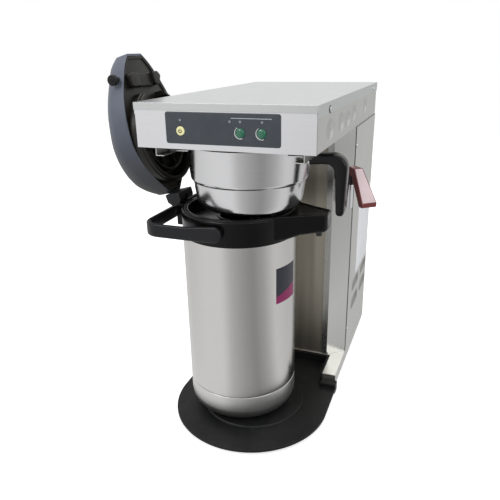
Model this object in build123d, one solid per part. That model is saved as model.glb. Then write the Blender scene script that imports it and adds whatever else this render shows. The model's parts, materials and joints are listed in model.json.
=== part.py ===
from build123d import *
import math
import os

# Airpot brewer with a brew cone, a hot-water faucet and an open airpot under the cone.
# Millimetres, +Z up. X runs to the right, Y to the back.
# The origin lies on the table, straight under the centre of the brew cone.

# Casing
machine_width = 230.0
machine_height = 468.0
sheet = 1.2                # thickness of the stainless sheet
back_y = 338.0             # outer face of the rear panel
head_front_y = -91.0       # outer face of the head's front panel
head_height = 54.0
head_bottom_z = machine_height - head_height
tower_front_y = 132.4      # outer face of the two front flanges
chamfer_side_y = 153.2     # where the chamfered corner meets the side panel
chamfer_front_x = 86.6     # where it meets the front flange
flange_inner_x = 77.0      # edge of the front flanges beside the splash panel
splash_lap = 7.0           # how far the splash panel reaches behind each flange
head_lip = 12.0            # inward lip along the head's lower edge
cover_side_flange = 14.0
cover_front_flange = 8.5
cover_back_overhang = 1.5
seat_gap = 0.1             # between sheets that are pushed over one another

# Vents of the side panels
vent_length = 56.0
vent_height = 7.0
vent_columns = (219.0, 300.0)
vent_rows = (95.0, 130.0)
rear_vent_count = 6
rear_vent_pitch = 14.0
rear_vent_length = 90.0
rear_vent_drop = 84.0      # from the head's lower edge to the top row
rear_vent_z = head_bottom_z - rear_vent_drop

# Base
base_top_z = 25.0
base_front_y = 74.0
foot_height = 6.0
foot_radius = 12.0
foot_inset = 16.0
plate_radius = 118.0
plate_centre_y = -6.5
plate_top_z = 9.0
plate_skin = 3.5           # thickness of the plate's top
plate_edge_round = 1.2
skirt_inset = 18.0         # from the plate's edge to the skirt that it stands on
skirt_wall = 4.0
plate_boss_radius = 25.0
plate_rib = 3.0
plate_rib_count = 8
ear_height = 16.0          # raised rear ends of the drip plate
ear_length = 14.0
tongue_half = 92.5         # half-width of the plate's tongue between the base's arms
tongue_gap = 0.3
tongue_wall = 4.0
tongue_rim_top_z = 23.5
plateau_rise = 2.5
plateau_bevel = 1.5

# Control panel
panel_left_x = -72.0
panel_right_x = 73.0
panel_low_margin = 6.7     # from the head's lower edge to the panel
panel_high_margin = 10.0   # from the panel to the top of the machine
panel_bottom_z = head_bottom_z + panel_low_margin
panel_top_z = machine_height - panel_high_margin
panel_corner = 3.0
panel_thickness = 1.0
button_rise = 15.3         # from the panel's lower edge to the buttons' centres
button_z = panel_bottom_z + button_rise
power_x = -52.0
brew_button_x = (24.5, 50.5)
power_radius = 5.3
brew_button_radius = 5.6
button_gap = 0.3
button_stand = 1.0         # how far a cap's edge stands out of the panel
button_dome = 1.6
button_travel = 1.0
button_collar = 1.5        # width of the collar that keeps a button in
button_stem_radius = 2.0
ring_width = 1.3
ring_height = 0.8
light_drop = 9.5           # from the panel's upper edge to the lights
light_z = panel_top_z - light_drop
light_x = (-52.0, 11.7, 24.6, 51.0)
light_radius = 1.4
board_gap = 9.0            # from the head's front sheet to the control board
board_thickness = 1.6
board_half = 60.0
board_height = 34.0
stud_radius = 2.5
switch_size = 6.0

# Brew cone, measured from its own centre line
cone_head_gap = 2.0        # from the cone's rim up to the head
cone_upper_height = 45.0   # from the ridge to the rim
cone_step_height = 3.0
cone_lower_height = 24.0   # from the low bend to the step
cone_base_height = 12.5    # from the floor to the low bend
cone_rim_z = head_bottom_z - cone_head_gap
cone_ridge_z = cone_rim_z - cone_upper_height
cone_step_z = cone_ridge_z - cone_step_height
cone_low_z = cone_step_z - cone_lower_height
cone_bottom_z = cone_low_z - cone_base_height
cone_base_radius = 68.5
cone_low_radius = 73.0
cone_step_radius = 76.5
cone_ridge_radius = 79.6
cone_rim_radius = 84.5
cone_wall = 1.2
cone_bottom_round = 9.0
outlet_radius = 6.0
outlet_wall = 1.5
outlet_drop = 3.0
runner_half = 48.0         # half-length of the runners that hang in the brew rails
runner_thickness = 1.5
runner_outer_x = 95.3
runner_drop = 9.5          # from the head's lower edge to the runners' top
runner_top_z = head_bottom_z - runner_drop
handle_width = 20.0
handle_drop = 13.0         # from the head's lower edge to the handle's arm
handle_height = 80.5
handle_top_z = head_bottom_z - handle_drop
handle_tip_z = handle_top_z - handle_height
handle_outer_x = 133.5
handle_grip = 16.0         # thickness of the grip at the top
handle_tip = 11.0          # and at its tip
handle_root_x = 86.0
handle_arm = 15.0          # height of the arm at the bracket
handle_round = 3.0
bracket_half = 8.5
bracket_margin = 2.0
basket_rim_wire = 1.4      # radius of the two hoops' wire
basket_wire = 1.0          # radius of the wires between them
basket_weld = 1.3          # from the hoops' centre line to that of the wires welded on them
basket_overrun = 2.2       # how far the upright wires run past the hoops
basket_low_radius = 50.0
basket_high_radius = 70.0
basket_drop = 14.0         # from the cone's rim to the upper hoop
basket_top_z = cone_rim_z - basket_drop
basket_wires = 16

# Brew rails
rail_outer_x = 97.0
rail_inner_x = 85.5
rail_gap = 0.3
rail_back_y = 72.0

# Water system
tank_half = 82.0
tank_front_y = 172.0
tank_back_y = 318.0
tank_bottom_z = 120.0
tank_head_room = 54.0      # from the head's lower edge to the tank's flange, for the valve and tube
tank_top_z = head_bottom_z - tank_head_room
tank_wall = 1.5
tank_round = 18.0
tank_flange = 8.0
tank_leg = 16.0
gasket_thickness = 2.0
tank_lid_thickness = 3.0
element_radius = 4.0
element_half = 34.0
element_bottom_z = 150.0
element_y = 270.0
probe_radius = 3.0
probe_x = (-64.0, -50.0)
probe_length = (120.0, 60.0)
valve_y = 205.0
valve_radius = 15.0
valve_height = 30.0
valve_coil_height = 24.0
spray_tube_radius = 4.5
spray_tube_rise = 18.0     # from the head's lower edge to the tube's run
spray_tube_z = head_bottom_z + spray_tube_rise
spray_head_radius = 30.0
spray_head_height = 2.6    # low enough to pour freely, high enough for the cone's rim to pass
spray_neck_radius = 7.0
inlet_x = 30.0
inlet_z = 75.0
inlet_radius = 9.5
inlet_reach = 19.5
inlet_thread = 12.0        # length of the outer thread
inlet_shank_radius = 8.0
inlet_bore_radius = 4.5
inlet_hex = 13.0
inlet_hex_thickness = 6.0
hose_radius = 5.0
gland_x = -62.0
gland_z = 75.0
gland_radius = 11.0
gland_bore_radius = 4.6
gland_reach = 14.0
relay_place = (-25.0, 235.0)
relay_size = (60.0, 40.0, 50.0)

# Hot-water faucet on the right chamfer
faucet_drop = 69.0         # from the head's lower edge to the shank's centre
faucet_z = head_bottom_z - faucet_drop
faucet_along = 0.5         # place along the chamfer, as a share of its width
shank_radius = 7.0
shank_gap = 0.3
shank_inside = 22.0
shank_bore_radius = 3.5
nut_radius = 12.0
nut_thickness = 6.0
washer_radius = 12.5
washer_thickness = 3.0
faucet_reach = 21.0        # from the chamfer to the faucet's own centre line
faucet_barrel_radius = 9.0
faucet_barrel_height = 12.0
faucet_low_z = faucet_z - faucet_barrel_height
faucet_high_z = faucet_z
spout_radius = 6.0
spout_bore_radius = 4.0
spout_length = 37.0        # below the barrel
spout_end_z = faucet_low_z - spout_length
spout_socket = 6.0
lever_root_width = 11.0
lever_tip_width = 23.0
lever_depth = 12.0         # depth of the paddle, measured level
lever_hub_reach = 24.0     # the hub's near and far ends, measured out from the chamfer
lever_bend_reach = 46.0
lever_reach = 84.0         # from the chamfer to the lever's tip
lever_tip_z = faucet_z - 27.0
lever_top_z = faucet_z + 16.0
lever_hub_z = faucet_z + 3.0
lever_end = 6.0            # height of the end face at the tip
lever_pin_reach = 29.0
lever_pin_z = faucet_z + 8.5
lever_pin_radius = 2.0
tongue_thickness = 5.0     # upright tongue of the faucet between the lever's cheeks
tongue_round = 4.5
tongue_slant = 2.5         # how far the tongue's near top corner is drawn towards the pin
fork_gap = 0.3

# Airpot, measured from its own centre line
pot_x = -17.0
pot_radius = 80.0
pot_wall = 1.0
pot_bottom_z = 13.8
pot_seam_z = 58.0
pot_head_room = 4.0        # from the collar's top to the cone's floor
collar_height = 36.0
collar_top_z = cone_bottom_z - pot_head_room
pot_top_z = collar_top_z - collar_height
pot_bottom_round = 22.0
base_ring_inset = 3.0      # inside the bottom's rounded edge
base_ring_radius = pot_radius - pot_bottom_round - base_ring_inset
base_ring_gap = 0.2
base_spigot_radius = 22.0
base_spigot_top_z = 24.0
liner_gap = 7.0            # vacuum between the outer tube and the liner
liner_radius = pot_radius - pot_wall - liner_gap
liner_wall = 0.8
liner_shoulder_drop = 32.5
liner_shoulder_z = pot_top_z - liner_shoulder_drop
neck_radius = 30.0
deck_drop = 16.0           # from the collar's top to the recessed deck
deck_z = collar_top_z - deck_drop
deck_thickness = 3.0
collar_rim = 9.0
collar_wall = 5.0
collar_spigot = 12.0
mouth_radius = 26.5
mouth_depth = 22.0
beak_reach = 128.0
beak_tip_half = 13.0
beak_mid_x = 102.0
beak_mid_half = 25.0
beak_root_inset = 14.0     # how far inside the airpot's outline the beak starts
beak_root_x = pot_radius - beak_root_inset
beak_root_half = round(math.sqrt(pot_radius ** 2 - beak_root_x ** 2) - 0.2, 1)
beak_height = 25.5
beak_bottom_z = collar_top_z - beak_height
beak_wall = 3.0
siphon_radius = 3.0
siphon_bore = 2.0
siphon_gap = 0.3
siphon_x = 12.0
siphon_y = 18.0
siphon_low_z = 40.0
nozzle_x = 115.0
nozzle_drop = 8.0          # below the beak
nozzle_z = beak_bottom_z - nozzle_drop
nozzle_radius = 5.0
nozzle_height = 9.0

# Hinge of the airpot's lid
hinge_stand = 14.0         # from the airpot's side out to the hinge
hinge_x = pot_x - pot_radius - hinge_stand
hinge_z = collar_top_z - 1.0
hinge_pin_radius = 2.5
hinge_pin_half = 18.0
hinge_fit = 0.05
knuckle_radius = 5.0
block_half = 20.0
block_rise = 13.2          # from the pin up to the block's top, along the open lid
block_drop = 4.2           # from the pin down to its lower edge
block_reach = 14.0         # from the pin towards the airpot
block_back = 8.0           # and away from it
hinge_side_gap = 0.4
spine_half = 5.0
spine_outer_x = hinge_x - 3.0
spine_bottom_z = pot_top_z - 1.5

# Bail
bail_pivot_z = collar_top_z - 17.0
bail_strap = 6.0
bail_bar = 7.0             # thickness of the cross-bar
bail_end_radius = 10.5     # half-height of the arms at their pivots
bail_reach = 27.0          # from the airpot's side out to the cross-bar's face
bail_outer_x = pot_x - pot_radius - bail_reach
bail_corner = 25.0
bail_bottom_z = collar_top_z - 28.0
bail_top_z = collar_top_z - 10.0
bail_pin_radius = 4.0
bail_pin_depth = 4.0       # how far the pins reach into the arms
bail_pin_fit = 0.05
bail_boss_radius = 8.0
bail_side_gap = 0.3
bail_boss_height = 3.7
bail_half = pot_radius + bail_boss_height + bail_side_gap + bail_strap

# Lid of the airpot, drawn in its own frame: s runs from the hinge to the nose, d to the crown
lid_open_angle = 105.0
lid_plane_x = hinge_x - 1.0
lid_plane_z = hinge_z - 0.5
lid_wall = 2.2
lid_sections = (           # s, half-width and depth of the lid's bulge
    (14.0, 13.0, 28.0),
    (22.0, 22.0, 42.0),
    (33.0, 34.0, 53.5),
    (47.0, 47.0, 59.0),
    (64.0, 59.0, 60.5),
    (90.0, 69.0, 58.5),
    (118.0, 67.5, 54.0),
    (150.0, 58.5, 47.0),
    (178.0, 43.0, 39.0),
    (198.0, 28.0, 33.0),
    (208.0, 17.0, 26.0),
)
lid_squareness = 0.5       # exponent of the rounded cross-section
underside_thickness = 2.5
seal_s = 94.2
seal_radius = 66.0
seal_height = 15.0
seal_width = 7.0
seal_notch_half = 26.0     # the ring is open over the siphon on the beak's side
bellows_radius = 38.0
bellows_height = 26.0
bellows_folds = 4
bellows_fold_depth = 5.0
nose_box_start_s = 164.0   # box across the nose end, below the rim plane
nose_box_end_s = 182.0
nose_box_half = 36.0
nose_box_depth = 8.0

# Pump lever in the crown of the lid
paddle_half = 28.0
paddle_start_s = 46.0
paddle_end_s = 181.0
paddle_side_gap = 0.5
paddle_end_gap = 3.5
lever_axle_s = 177.5
lever_axle_d = 9.0
lever_axle_radius = 3.5
lever_axle_fit = 0.05
lever_knob_radius = 7.0
lever_knob_height = 6.0
lever_knob_y = 50.5
lever_rib = 4.0
lever_rib_start_s = 150.0
paddle_window_d = 22.0     # how deep the crown's opening is cut

half_width = machine_width / 2
plateau_radius = pot_radius - 2.0
plateau_top_z = plate_top_z + plateau_rise
side_inner_x = half_width - sheet - seat_gap
tongue_back_y = tower_front_y - tongue_gap


def block(x0, x1, y0, y1, z0, z1):
    """Box between two corners."""
    centre = Pos((x0 + x1) / 2, (y0 + y1) / 2, (z0 + z1) / 2)
    return centre * Box(abs(x1 - x0), abs(y1 - y0), abs(z1 - z0))


def outline(points):
    """Flat face through points, where a third number is the corner's radius."""
    corners = [(point[0], point[1]) for point in points]
    radii = [point[2] if len(point) > 2 else 0.0 for point in points]
    return make_face(FilletPolyline(*corners, radius=radii, close=True))


def turned(points):
    """Solid of revolution about Z through points given as radius and height."""
    return revolve(Plane.XZ * outline(points), Axis.Z, 360)


def folded(points, thickness):
    """Flat outline of a folded sheet: the points are one side, the sheet lies to their left."""
    lefts = []
    for i, point in enumerate(points):
        here = Vector(*point)
        normals = []
        if i > 0:
            along = (here - Vector(*points[i - 1])).normalized()
            normals.append(Vector(-along.Y, along.X))
        if i < len(points) - 1:
            along = (Vector(*points[i + 1]) - here).normalized()
            normals.append(Vector(-along.Y, along.X))
        middle = normals[0] + normals[-1]
        scale = thickness / (middle.dot(normals[0]))
        lefts.append(here + middle * scale)
    return outline(list(points) + [(corner.X, corner.Y) for corner in reversed(lefts)])


def upright(face, z0, z1):
    """Prism over a flat outline between two heights."""
    return Pos(0, 0, z0) * extrude(face, z1 - z0)


def across(points, half):
    """Prism along Y, centred on the middle plane, over an outline given as x and z."""
    return Pos(0, half, 0) * extrude(Plane.XZ * outline(points), 2 * half)


def rod_x(radius, x0, x1, y, z):
    """Cylinder along X."""
    return Pos((x0 + x1) / 2, y, z) * Rot(0, 90, 0) * Cylinder(radius, abs(x1 - x0))


def rod_y(radius, y0, y1, x, z):
    """Cylinder along Y."""
    return Pos(x, (y0 + y1) / 2, z) * Rot(90, 0, 0) * Cylinder(radius, abs(y1 - y0))


def rod_z(radius, z0, z1, x, y):
    """Cylinder along Z."""
    return Pos(x, y, (z0 + z1) / 2) * Cylinder(radius, abs(z1 - z0))


def tube(points, bend, radius, bore=0.0):
    """Round tube along a path with rounded corners."""
    path = FilletPolyline(*points, radius=bend)
    solid = sweep((path ^ 0) * Circle(radius), path)
    if bore > 0:
        solid -= sweep((path ^ 0) * Circle(bore), path)
    return solid


# Base and casing


def base_chassis():
    """Tray under the tower, open below, with an arm on each side of the plate's tongue."""
    notch_half = tongue_half + tongue_gap
    tray = block(-half_width, half_width, base_front_y, back_y, foot_height, base_top_z)
    tray -= block(-notch_half, notch_half, base_front_y - 1, tower_front_y, 0, base_top_z + 1)
    inside = block(-half_width + sheet, half_width - sheet, base_front_y + sheet, back_y - sheet,
                   0, base_top_z - sheet)
    inside -= block(-notch_half - sheet, notch_half + sheet, 0, tower_front_y + sheet,
                    -1, base_top_z)
    tray -= inside
    gusset = 2.4 * foot_radius
    for side in (-1, 1):
        edge = side * (half_width - sheet)
        tray += block(edge - side * gusset, edge, back_y - sheet - gusset, back_y - sheet,
                      foot_height, foot_height + sheet)
    return tray


def rear_feet():
    """Two rubber feet under the base's rear corners."""
    feet = []
    for side in (-1, 1):
        foot = turned([(0, 0), (foot_radius - 2, 0), (foot_radius, 2), (foot_radius - 1, foot_height),
                       (0, foot_height)])
        feet.append(Pos(side * (half_width - foot_inset), back_y - foot_inset, 0) * foot)
    return Compound(feet)


def plate_outline(inset):
    """Plan of the drip plate's front part, drawn in by an inset."""
    radius = plate_radius - inset
    back = base_front_y - tongue_gap - inset
    straight = back - plate_centre_y
    front = Pos(0, plate_centre_y) * Circle(radius)
    front += Pos(0, plate_centre_y + straight / 2) * Rectangle(2 * radius, straight)
    front -= Pos(0, back + radius) * Rectangle(2 * radius + 1, 2 * radius)
    return front


def drip_plate():
    """Black moulded plate with the raised disc that carries the airpot, on a set-back skirt."""
    skin_low = plate_top_z - plate_skin
    back = base_front_y - tongue_gap
    plate = upright(plate_outline(0), skin_low, plate_top_z)
    plate = fillet(plate.edges().group_by(Axis.Z)[-1], plate_edge_round)
    for side in (-1, 1):
        ear = block(side * tongue_half, side * plate_radius, back - ear_length, back,
                    0, ear_height)
        plate += fillet(ear.edges().group_by(Axis.Z)[-1], plate_edge_round)
    tongue = block(-tongue_half, tongue_half, back - ear_length, tongue_back_y, 0, tongue_rim_top_z)
    tongue -= block(-tongue_half + tongue_wall, tongue_half - tongue_wall, base_front_y - 2 * ear_length,
                    tongue_back_y - tongue_wall, plate_top_z, machine_height)
    tongue -= block(-half_width, half_width, 0, base_front_y, plate_top_z, machine_height)
    tongue -= block(-tongue_half + tongue_wall, tongue_half - tongue_wall, back - ear_length - 1,
                    tongue_back_y - tongue_wall, -1, skin_low)
    plate += tongue
    plate += turned([(0, skin_low), (plateau_radius, skin_low),
                     (plateau_radius, plateau_top_z - plateau_bevel),
                     (plateau_radius - plateau_bevel, plateau_top_z), (0, plateau_top_z)])
    plate += upright(plate_outline(skirt_inset) - plate_outline(skirt_inset + skirt_wall),
                     0, skin_low)
    plate += rod_z(plate_boss_radius, 0, skin_low, 0, 0)
    ribs = Plane.XY * Rectangle(plate_rib, 4 * plate_radius)
    for i in range(1, plate_rib_count // 2):
        ribs += Rot(0, 0, 360 * i / plate_rib_count) * Rectangle(plate_rib, 4 * plate_radius)
    ribs &= plate_outline(skirt_inset + skirt_wall / 2)
    return plate + upright(ribs, 0, skin_low)


def corner_post(side):
    """Front corner of the tower: a narrow flange, a chamfer and a return behind the side panel."""
    path = [(flange_inner_x, tower_front_y), (chamfer_front_x, tower_front_y),
            (side_inner_x, chamfer_side_y), (side_inner_x, chamfer_side_y + head_lip)]
    post = upright(folded(path, sheet), base_top_z, head_bottom_z)
    if side < 0:
        post = mirror(post, Plane.YZ)
    else:
        post -= faucet_frame() * Cylinder(shank_radius + shank_gap, 20)
    return post


def splash_panel():
    """Polished panel behind the cone and the airpot, lapped behind the two front flanges."""
    half = flange_inner_x + splash_lap
    front = tower_front_y + sheet
    return block(-half, half, front, front + sheet, base_top_z, head_bottom_z)


def side_panel(side):
    """Removable side of the tower with four vent slots."""
    front = chamfer_side_y + sheet
    panel = block(side * (half_width - sheet), side * half_width, front, back_y,
                  base_top_z, head_bottom_z)
    slot = SlotOverall(vent_length, vent_height)
    for y in vent_columns:
        for z in vent_rows:
            cutter = Plane((side * half_width, y, z), x_dir=(0, 1, 0), z_dir=(1, 0, 0)) * slot
            panel -= extrude(cutter, 3 * sheet, both=True)
    return panel


def rear_panel():
    """Back sheet of the tower and head with holes for the water inlet and the supply cable."""
    edge = half_width - sheet
    panel = block(-edge, edge, back_y - sheet, back_y, base_top_z, machine_height - sheet - seat_gap)
    panel -= rod_y(inlet_shank_radius + seat_gap, back_y - 2 * sheet, back_y + 1, inlet_x, inlet_z)
    panel -= rod_y(gland_radius - 2 + seat_gap, back_y - 2 * sheet, back_y + 1, gland_x, gland_z)
    for i in range(rear_vent_count):
        z = rear_vent_z - i * rear_vent_pitch
        cutter = Plane((0, back_y, z), x_dir=(1, 0, 0), z_dir=(0, -1, 0))
        panel -= extrude(cutter * SlotOverall(rear_vent_length, vent_height / 2), 3 * sheet, both=True)
    return panel


def head_front():
    """Front sheet of the head with its lower lip, the holes for the controls and four studs."""
    top = machine_height - sheet - seat_gap
    back = head_front_y + sheet
    front = block(-side_inner_x, side_inner_x, head_front_y, back, head_bottom_z, top)
    lip_half = side_inner_x - sheet
    front += block(-lip_half, lip_half, back, back + head_lip, head_bottom_z, head_bottom_z + sheet)
    for x, radius in button_places():
        front -= rod_y(radius + button_gap, head_front_y - 1, back + 1, x, button_z)
    for x in light_x:
        front -= rod_y(light_radius + seat_gap, head_front_y - 1, back + 1, x, light_z)
    for x, z in stud_places():
        front += rod_y(stud_radius, back, back + board_gap, x, z)
    return front


def button_places():
    """Place and radius of each button."""
    return [(power_x, power_radius)] + [(x, brew_button_radius) for x in brew_button_x]


def stud_places():
    """Corners of the control board that sit on studs."""
    middle = (panel_bottom_z + panel_top_z) / 2
    reach = board_half - 2 * stud_radius
    rise = board_height / 2 - stud_radius - 1
    return [(x, middle + z) for x in (-reach, reach) for z in (-rise, rise)]


def head_sides():
    """Two long side sheets of the head, each with an inward lip along its lower edge."""
    top = machine_height - sheet - seat_gap
    front = head_front_y + sheet
    sides = []
    for side in (-1, 1):
        outer = side * side_inner_x
        inner = side * (side_inner_x - sheet)
        wall = block(inner, outer, front, back_y - sheet, head_bottom_z, top)
        wall += block(side * (side_inner_x - head_lip), outer, front + head_lip,
                      chamfer_side_y + head_lip, head_bottom_z, head_bottom_z + sheet)
        sides.append(wall)
    return Compound(sides)


def head_floor():
    """Underside of the head, resting on the lips, with the hole for the spray neck."""
    edge = side_inner_x - sheet
    low = head_bottom_z + sheet
    floor = block(-edge, edge, head_front_y + sheet, chamfer_side_y, low, low + sheet)
    floor -= rod_z(spray_neck_radius + seat_gap, low - 1, low + sheet + 1, 0, 0)
    return floor


def top_cover():
    """Lid of the machine: a shallow folded tray with cut front corners."""
    front = head_front_y - seat_gap
    back = back_y + cover_back_overhang
    low_side = machine_height - cover_side_flange
    low_front = machine_height - cover_front_flange
    cover = block(-half_width, half_width, front - sheet, back, low_side, machine_height)
    cover -= block(-half_width + sheet, half_width - sheet, front, back - sheet,
                   low_side - 1, machine_height - sheet)
    cover -= block(-half_width - 1, half_width + 1, front - sheet - 1, front + 0.5,
                   low_side - 1, low_front)
    cover -= block(-half_width - 1, half_width + 1, back_y - sheet, back + 1,
                   low_side - 1, low_front)
    edges = cover.edges().filter_by(Axis.Z).sort_by(Axis.Y)
    outer = [edge for edge in edges if abs(abs(edge.center().X) - half_width) < 0.01
             and abs(edge.center().Z - (machine_height + low_front) / 2) < 0.6]
    return fillet(outer, sheet * 0.9) if outer else cover


def screw(plane):
    """Pan-head screw standing on a plane, with a slot in its head."""
    head = turned([(0, 0), (3.2, 0), (3.2, 0.9, 0.4), (1.6, 1.8), (0, 1.8)])
    head -= Pos(0, 0, 1.8) * Box(0.9, 8, 1.4)
    return plane * head


def casing_screws():
    """Screws of the top cover and the side panels."""
    screws = []
    for side in (-1, 1):
        face = Plane((side * half_width, 0, 0), x_dir=(0, 1, 0), z_dir=(side, 0, 0))
        cover_z = machine_height - cover_side_flange + 4.5
        places = [(head_front_y + 56, cover_z), (back_y - 40, cover_z),
                  (chamfer_side_y + 8, base_top_z + 40), (chamfer_side_y + 8, head_bottom_z - 30)]
        for y, z in places:
            screws.append(screw(Plane(face.from_local_coords(Vector(y * 1.0, z * side, 0)),
                                      x_dir=(0, 1, 0), z_dir=(side, 0, 0))))
    return Compound(screws)


# Controls


def control_panel():
    """Dark plate on the head's front with its holes."""
    width = panel_right_x - panel_left_x
    height = panel_top_z - panel_bottom_z
    centre = ((panel_left_x + panel_right_x) / 2, head_front_y, (panel_top_z + panel_bottom_z) / 2)
    face = Plane(centre, x_dir=(1, 0, 0), z_dir=(0, -1, 0)) * RectangleRounded(width, height, panel_corner)
    panel = extrude(face, panel_thickness)
    front = head_front_y - panel_thickness
    for x, radius in button_places():
        panel -= rod_y(radius + button_gap, front - 1, head_front_y + 1, x, button_z)
    for x in light_x:
        panel -= rod_y(light_radius + seat_gap, front - 1, head_front_y + 1, x, light_z)
    return panel


def button(x, radius, dome):
    """Button with a retaining collar behind the sheet and a stem to its switch."""
    face_y = head_front_y - panel_thickness - button_stand
    inner_y = head_front_y + sheet + button_gap
    collar_end = inner_y + button_collar
    switch_y = head_front_y + sheet + board_gap - switch_size
    depth = inner_y - face_y
    cap = [(0, 0), (radius, 0), (radius, depth)]
    cap += [(radius * math.cos(math.radians(a)), depth + dome * math.sin(math.radians(a)))
            for a in (30, 60)]
    cap.append((0, depth + dome))
    body = Plane((x, inner_y, button_z), x_dir=(1, 0, 0), z_dir=(0, -1, 0)) * turned(cap)
    body += rod_y(radius + button_collar, inner_y, collar_end, x, button_z)
    stem_end = switch_y - button_travel - button_gap
    body += rod_y(button_stem_radius, collar_end, stem_end, x, button_z)
    return body


def button_rings():
    """Bright rings round the two brew buttons."""
    rings = []
    for x in brew_button_x:
        inner = brew_button_radius + button_gap
        ring = turned([(inner, 0), (inner + ring_width, 0), (inner + ring_width, ring_height / 2),
                       (inner + ring_width / 2, ring_height), (inner, ring_height / 2)])
        rings.append(Plane((x, head_front_y - panel_thickness, button_z), x_dir=(1, 0, 0),
                           z_dir=(0, -1, 0)) * ring)
    return Compound(rings)


def indicator_lights():
    """Four light pipes from the board to the panel."""
    front = head_front_y - panel_thickness - 0.3
    back = head_front_y + sheet + board_gap
    return Compound([rod_y(light_radius, front, back, x, light_z) for x in light_x])


def control_board():
    """Circuit board on the four studs."""
    middle = (panel_bottom_z + panel_top_z) / 2
    front = head_front_y + sheet + board_gap
    board = block(-board_half, board_half, front, front + board_thickness,
                  middle - board_height / 2, middle + board_height / 2)
    board += block(-20, 25, front + board_thickness, front + board_thickness + 4,
                   middle - 8, middle + 8)
    return board


def button_switches():
    """Small push switches on the board behind the buttons."""
    back = head_front_y + sheet + board_gap
    half = switch_size / 2
    return Compound([block(x - half, x + half, back - switch_size, back, button_z - half,
                           button_z + half) for x, radius in button_places()])


# Brew rails, spray head and water system


def brew_rails():
    """Pair of channels under the head that the cone's runners slide in."""
    runner_low = runner_top_z - runner_thickness
    lip_top = runner_low - rail_gap
    floor = head_bottom_z + sheet
    front = head_front_y + sheet + head_lip
    path = [(rail_inner_x, lip_top - sheet), (rail_outer_x, lip_top - sheet),
            (rail_outer_x, floor), (rail_inner_x, floor)]
    rails = []
    for side in (1, -1):
        rail = Pos(0, rail_back_y, 0) * extrude(Plane.XZ * folded(path, sheet), rail_back_y - front)
        rails.append(rail if side > 0 else mirror(rail, Plane.YZ))
    return Compound(rails)


def spray_head():
    """Round shower over the cone, on a neck through the head's floor."""
    floor = head_bottom_z + sheet
    low = floor - spray_head_height
    head = turned([(0, low), (spray_head_radius - 3, low), (spray_head_radius, low + 1.5),
                   (spray_head_radius, floor), (0, floor)])
    for ring, count in ((10.0, 6), (20.0, 10)):
        for i in range(count):
            angle = 2 * math.pi * i / count
            head -= rod_z(1.2, low - 1, low + 1.6, ring * math.cos(angle), ring * math.sin(angle))
    head += rod_z(spray_neck_radius, floor, floor + 8, 0, 0)
    return head


def spray_tube():
    """Pipe from the brew valve over the head's floor to the spray neck."""
    start = valve_top_z() - valve_coil_height
    neck_top = head_bottom_z + sheet + 8
    points = [(0, 0, neck_top), (0, 0, spray_tube_z), (0, valve_y - valve_radius, spray_tube_z)]
    if start < spray_tube_z:
        points[-1] = (0, valve_y, spray_tube_z)
        points.append((0, valve_y, valve_top_z()))
    return tube(points, 7.0, spray_tube_radius, spray_tube_radius - 1)


def valve_top_z():
    """Top of the brew valve on the tank's lid."""
    return tank_top_z + gasket_thickness + tank_lid_thickness + valve_height


def tank_plan(grow):
    """Rounded plan of the tank, grown on all sides."""
    width = 2 * (tank_half + grow)
    length = tank_back_y - tank_front_y + 2 * grow
    centre = (tank_front_y + tank_back_y) / 2
    return Pos(0, centre) * RectangleRounded(width, length, tank_round + grow)


def water_tank():
    """Open stainless tank with a top flange, on a short skirt that stands on the base."""
    tank = upright(tank_plan(0), tank_bottom_z, tank_top_z)
    tank += upright(tank_plan(tank_flange), tank_top_z - tank_wall, tank_top_z)
    tank -= upright(tank_plan(-tank_wall), tank_bottom_z + tank_wall, tank_top_z + 1)
    for x in (-1, 1):
        for y in (tank_front_y + tank_round, tank_back_y - tank_round):
            edge = x * (tank_half - tank_round)
            tank += block(edge - tank_leg / 2, edge + tank_leg / 2, y - tank_leg / 2,
                          y + tank_leg / 2, base_top_z, tank_bottom_z)
    return tank


def tank_gasket():
    """Silicone ring between the tank and its lid."""
    ring = tank_plan(tank_flange) - tank_plan(-tank_wall)
    return upright(ring, tank_top_z, tank_top_z + gasket_thickness)


def tank_lid():
    """Plate that closes the tank, with holes for the element, the probes and the valve."""
    low = tank_top_z + gasket_thickness
    lid = upright(tank_plan(tank_flange), low, low + tank_lid_thickness)
    for x in (-element_half, element_half):
        lid -= rod_z(element_radius, low - 1, low + 9, x, element_y)
    for x in probe_x:
        lid -= rod_z(probe_radius, low - 1, low + 9, x, element_y)
    lid -= rod_z(spray_tube_radius, low - 1, low + 9, 0, valve_y)
    return lid


def heating_element():
    """Looped heating rod that hangs from the tank's lid, with its two terminals."""
    top = tank_top_z + gasket_thickness + tank_lid_thickness + 12
    points = [(-element_half, element_y, top), (-element_half, element_y, element_bottom_z),
              (element_half, element_y, element_bottom_z), (element_half, element_y, top)]
    return tube(points, element_half * 0.6, element_radius)


def tank_probes():
    """Temperature and level probes through the tank's lid."""
    lid_top = tank_top_z + gasket_thickness + tank_lid_thickness
    probes = []
    for x, length in zip(probe_x, probe_length):
        probe = rod_z(probe_radius, lid_top - length, lid_top + 4, x, element_y)
        probes.append(probe + rod_z(probe_radius * 2, lid_top, lid_top + 8, x, element_y))
    return Compound(probes)


def brew_valve():
    """Solenoid valve on the tank's lid."""
    low = tank_top_z + gasket_thickness + tank_lid_thickness
    valve = rod_z(valve_radius * 0.6, low, low + valve_height, 0, valve_y)
    valve += block(-valve_radius, valve_radius, valve_y - valve_radius, valve_y + valve_radius,
                   low, low + valve_coil_height * 0.4)
    valve += rod_z(valve_radius, low + 6, low + valve_coil_height, 0, valve_y)
    return valve


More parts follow.
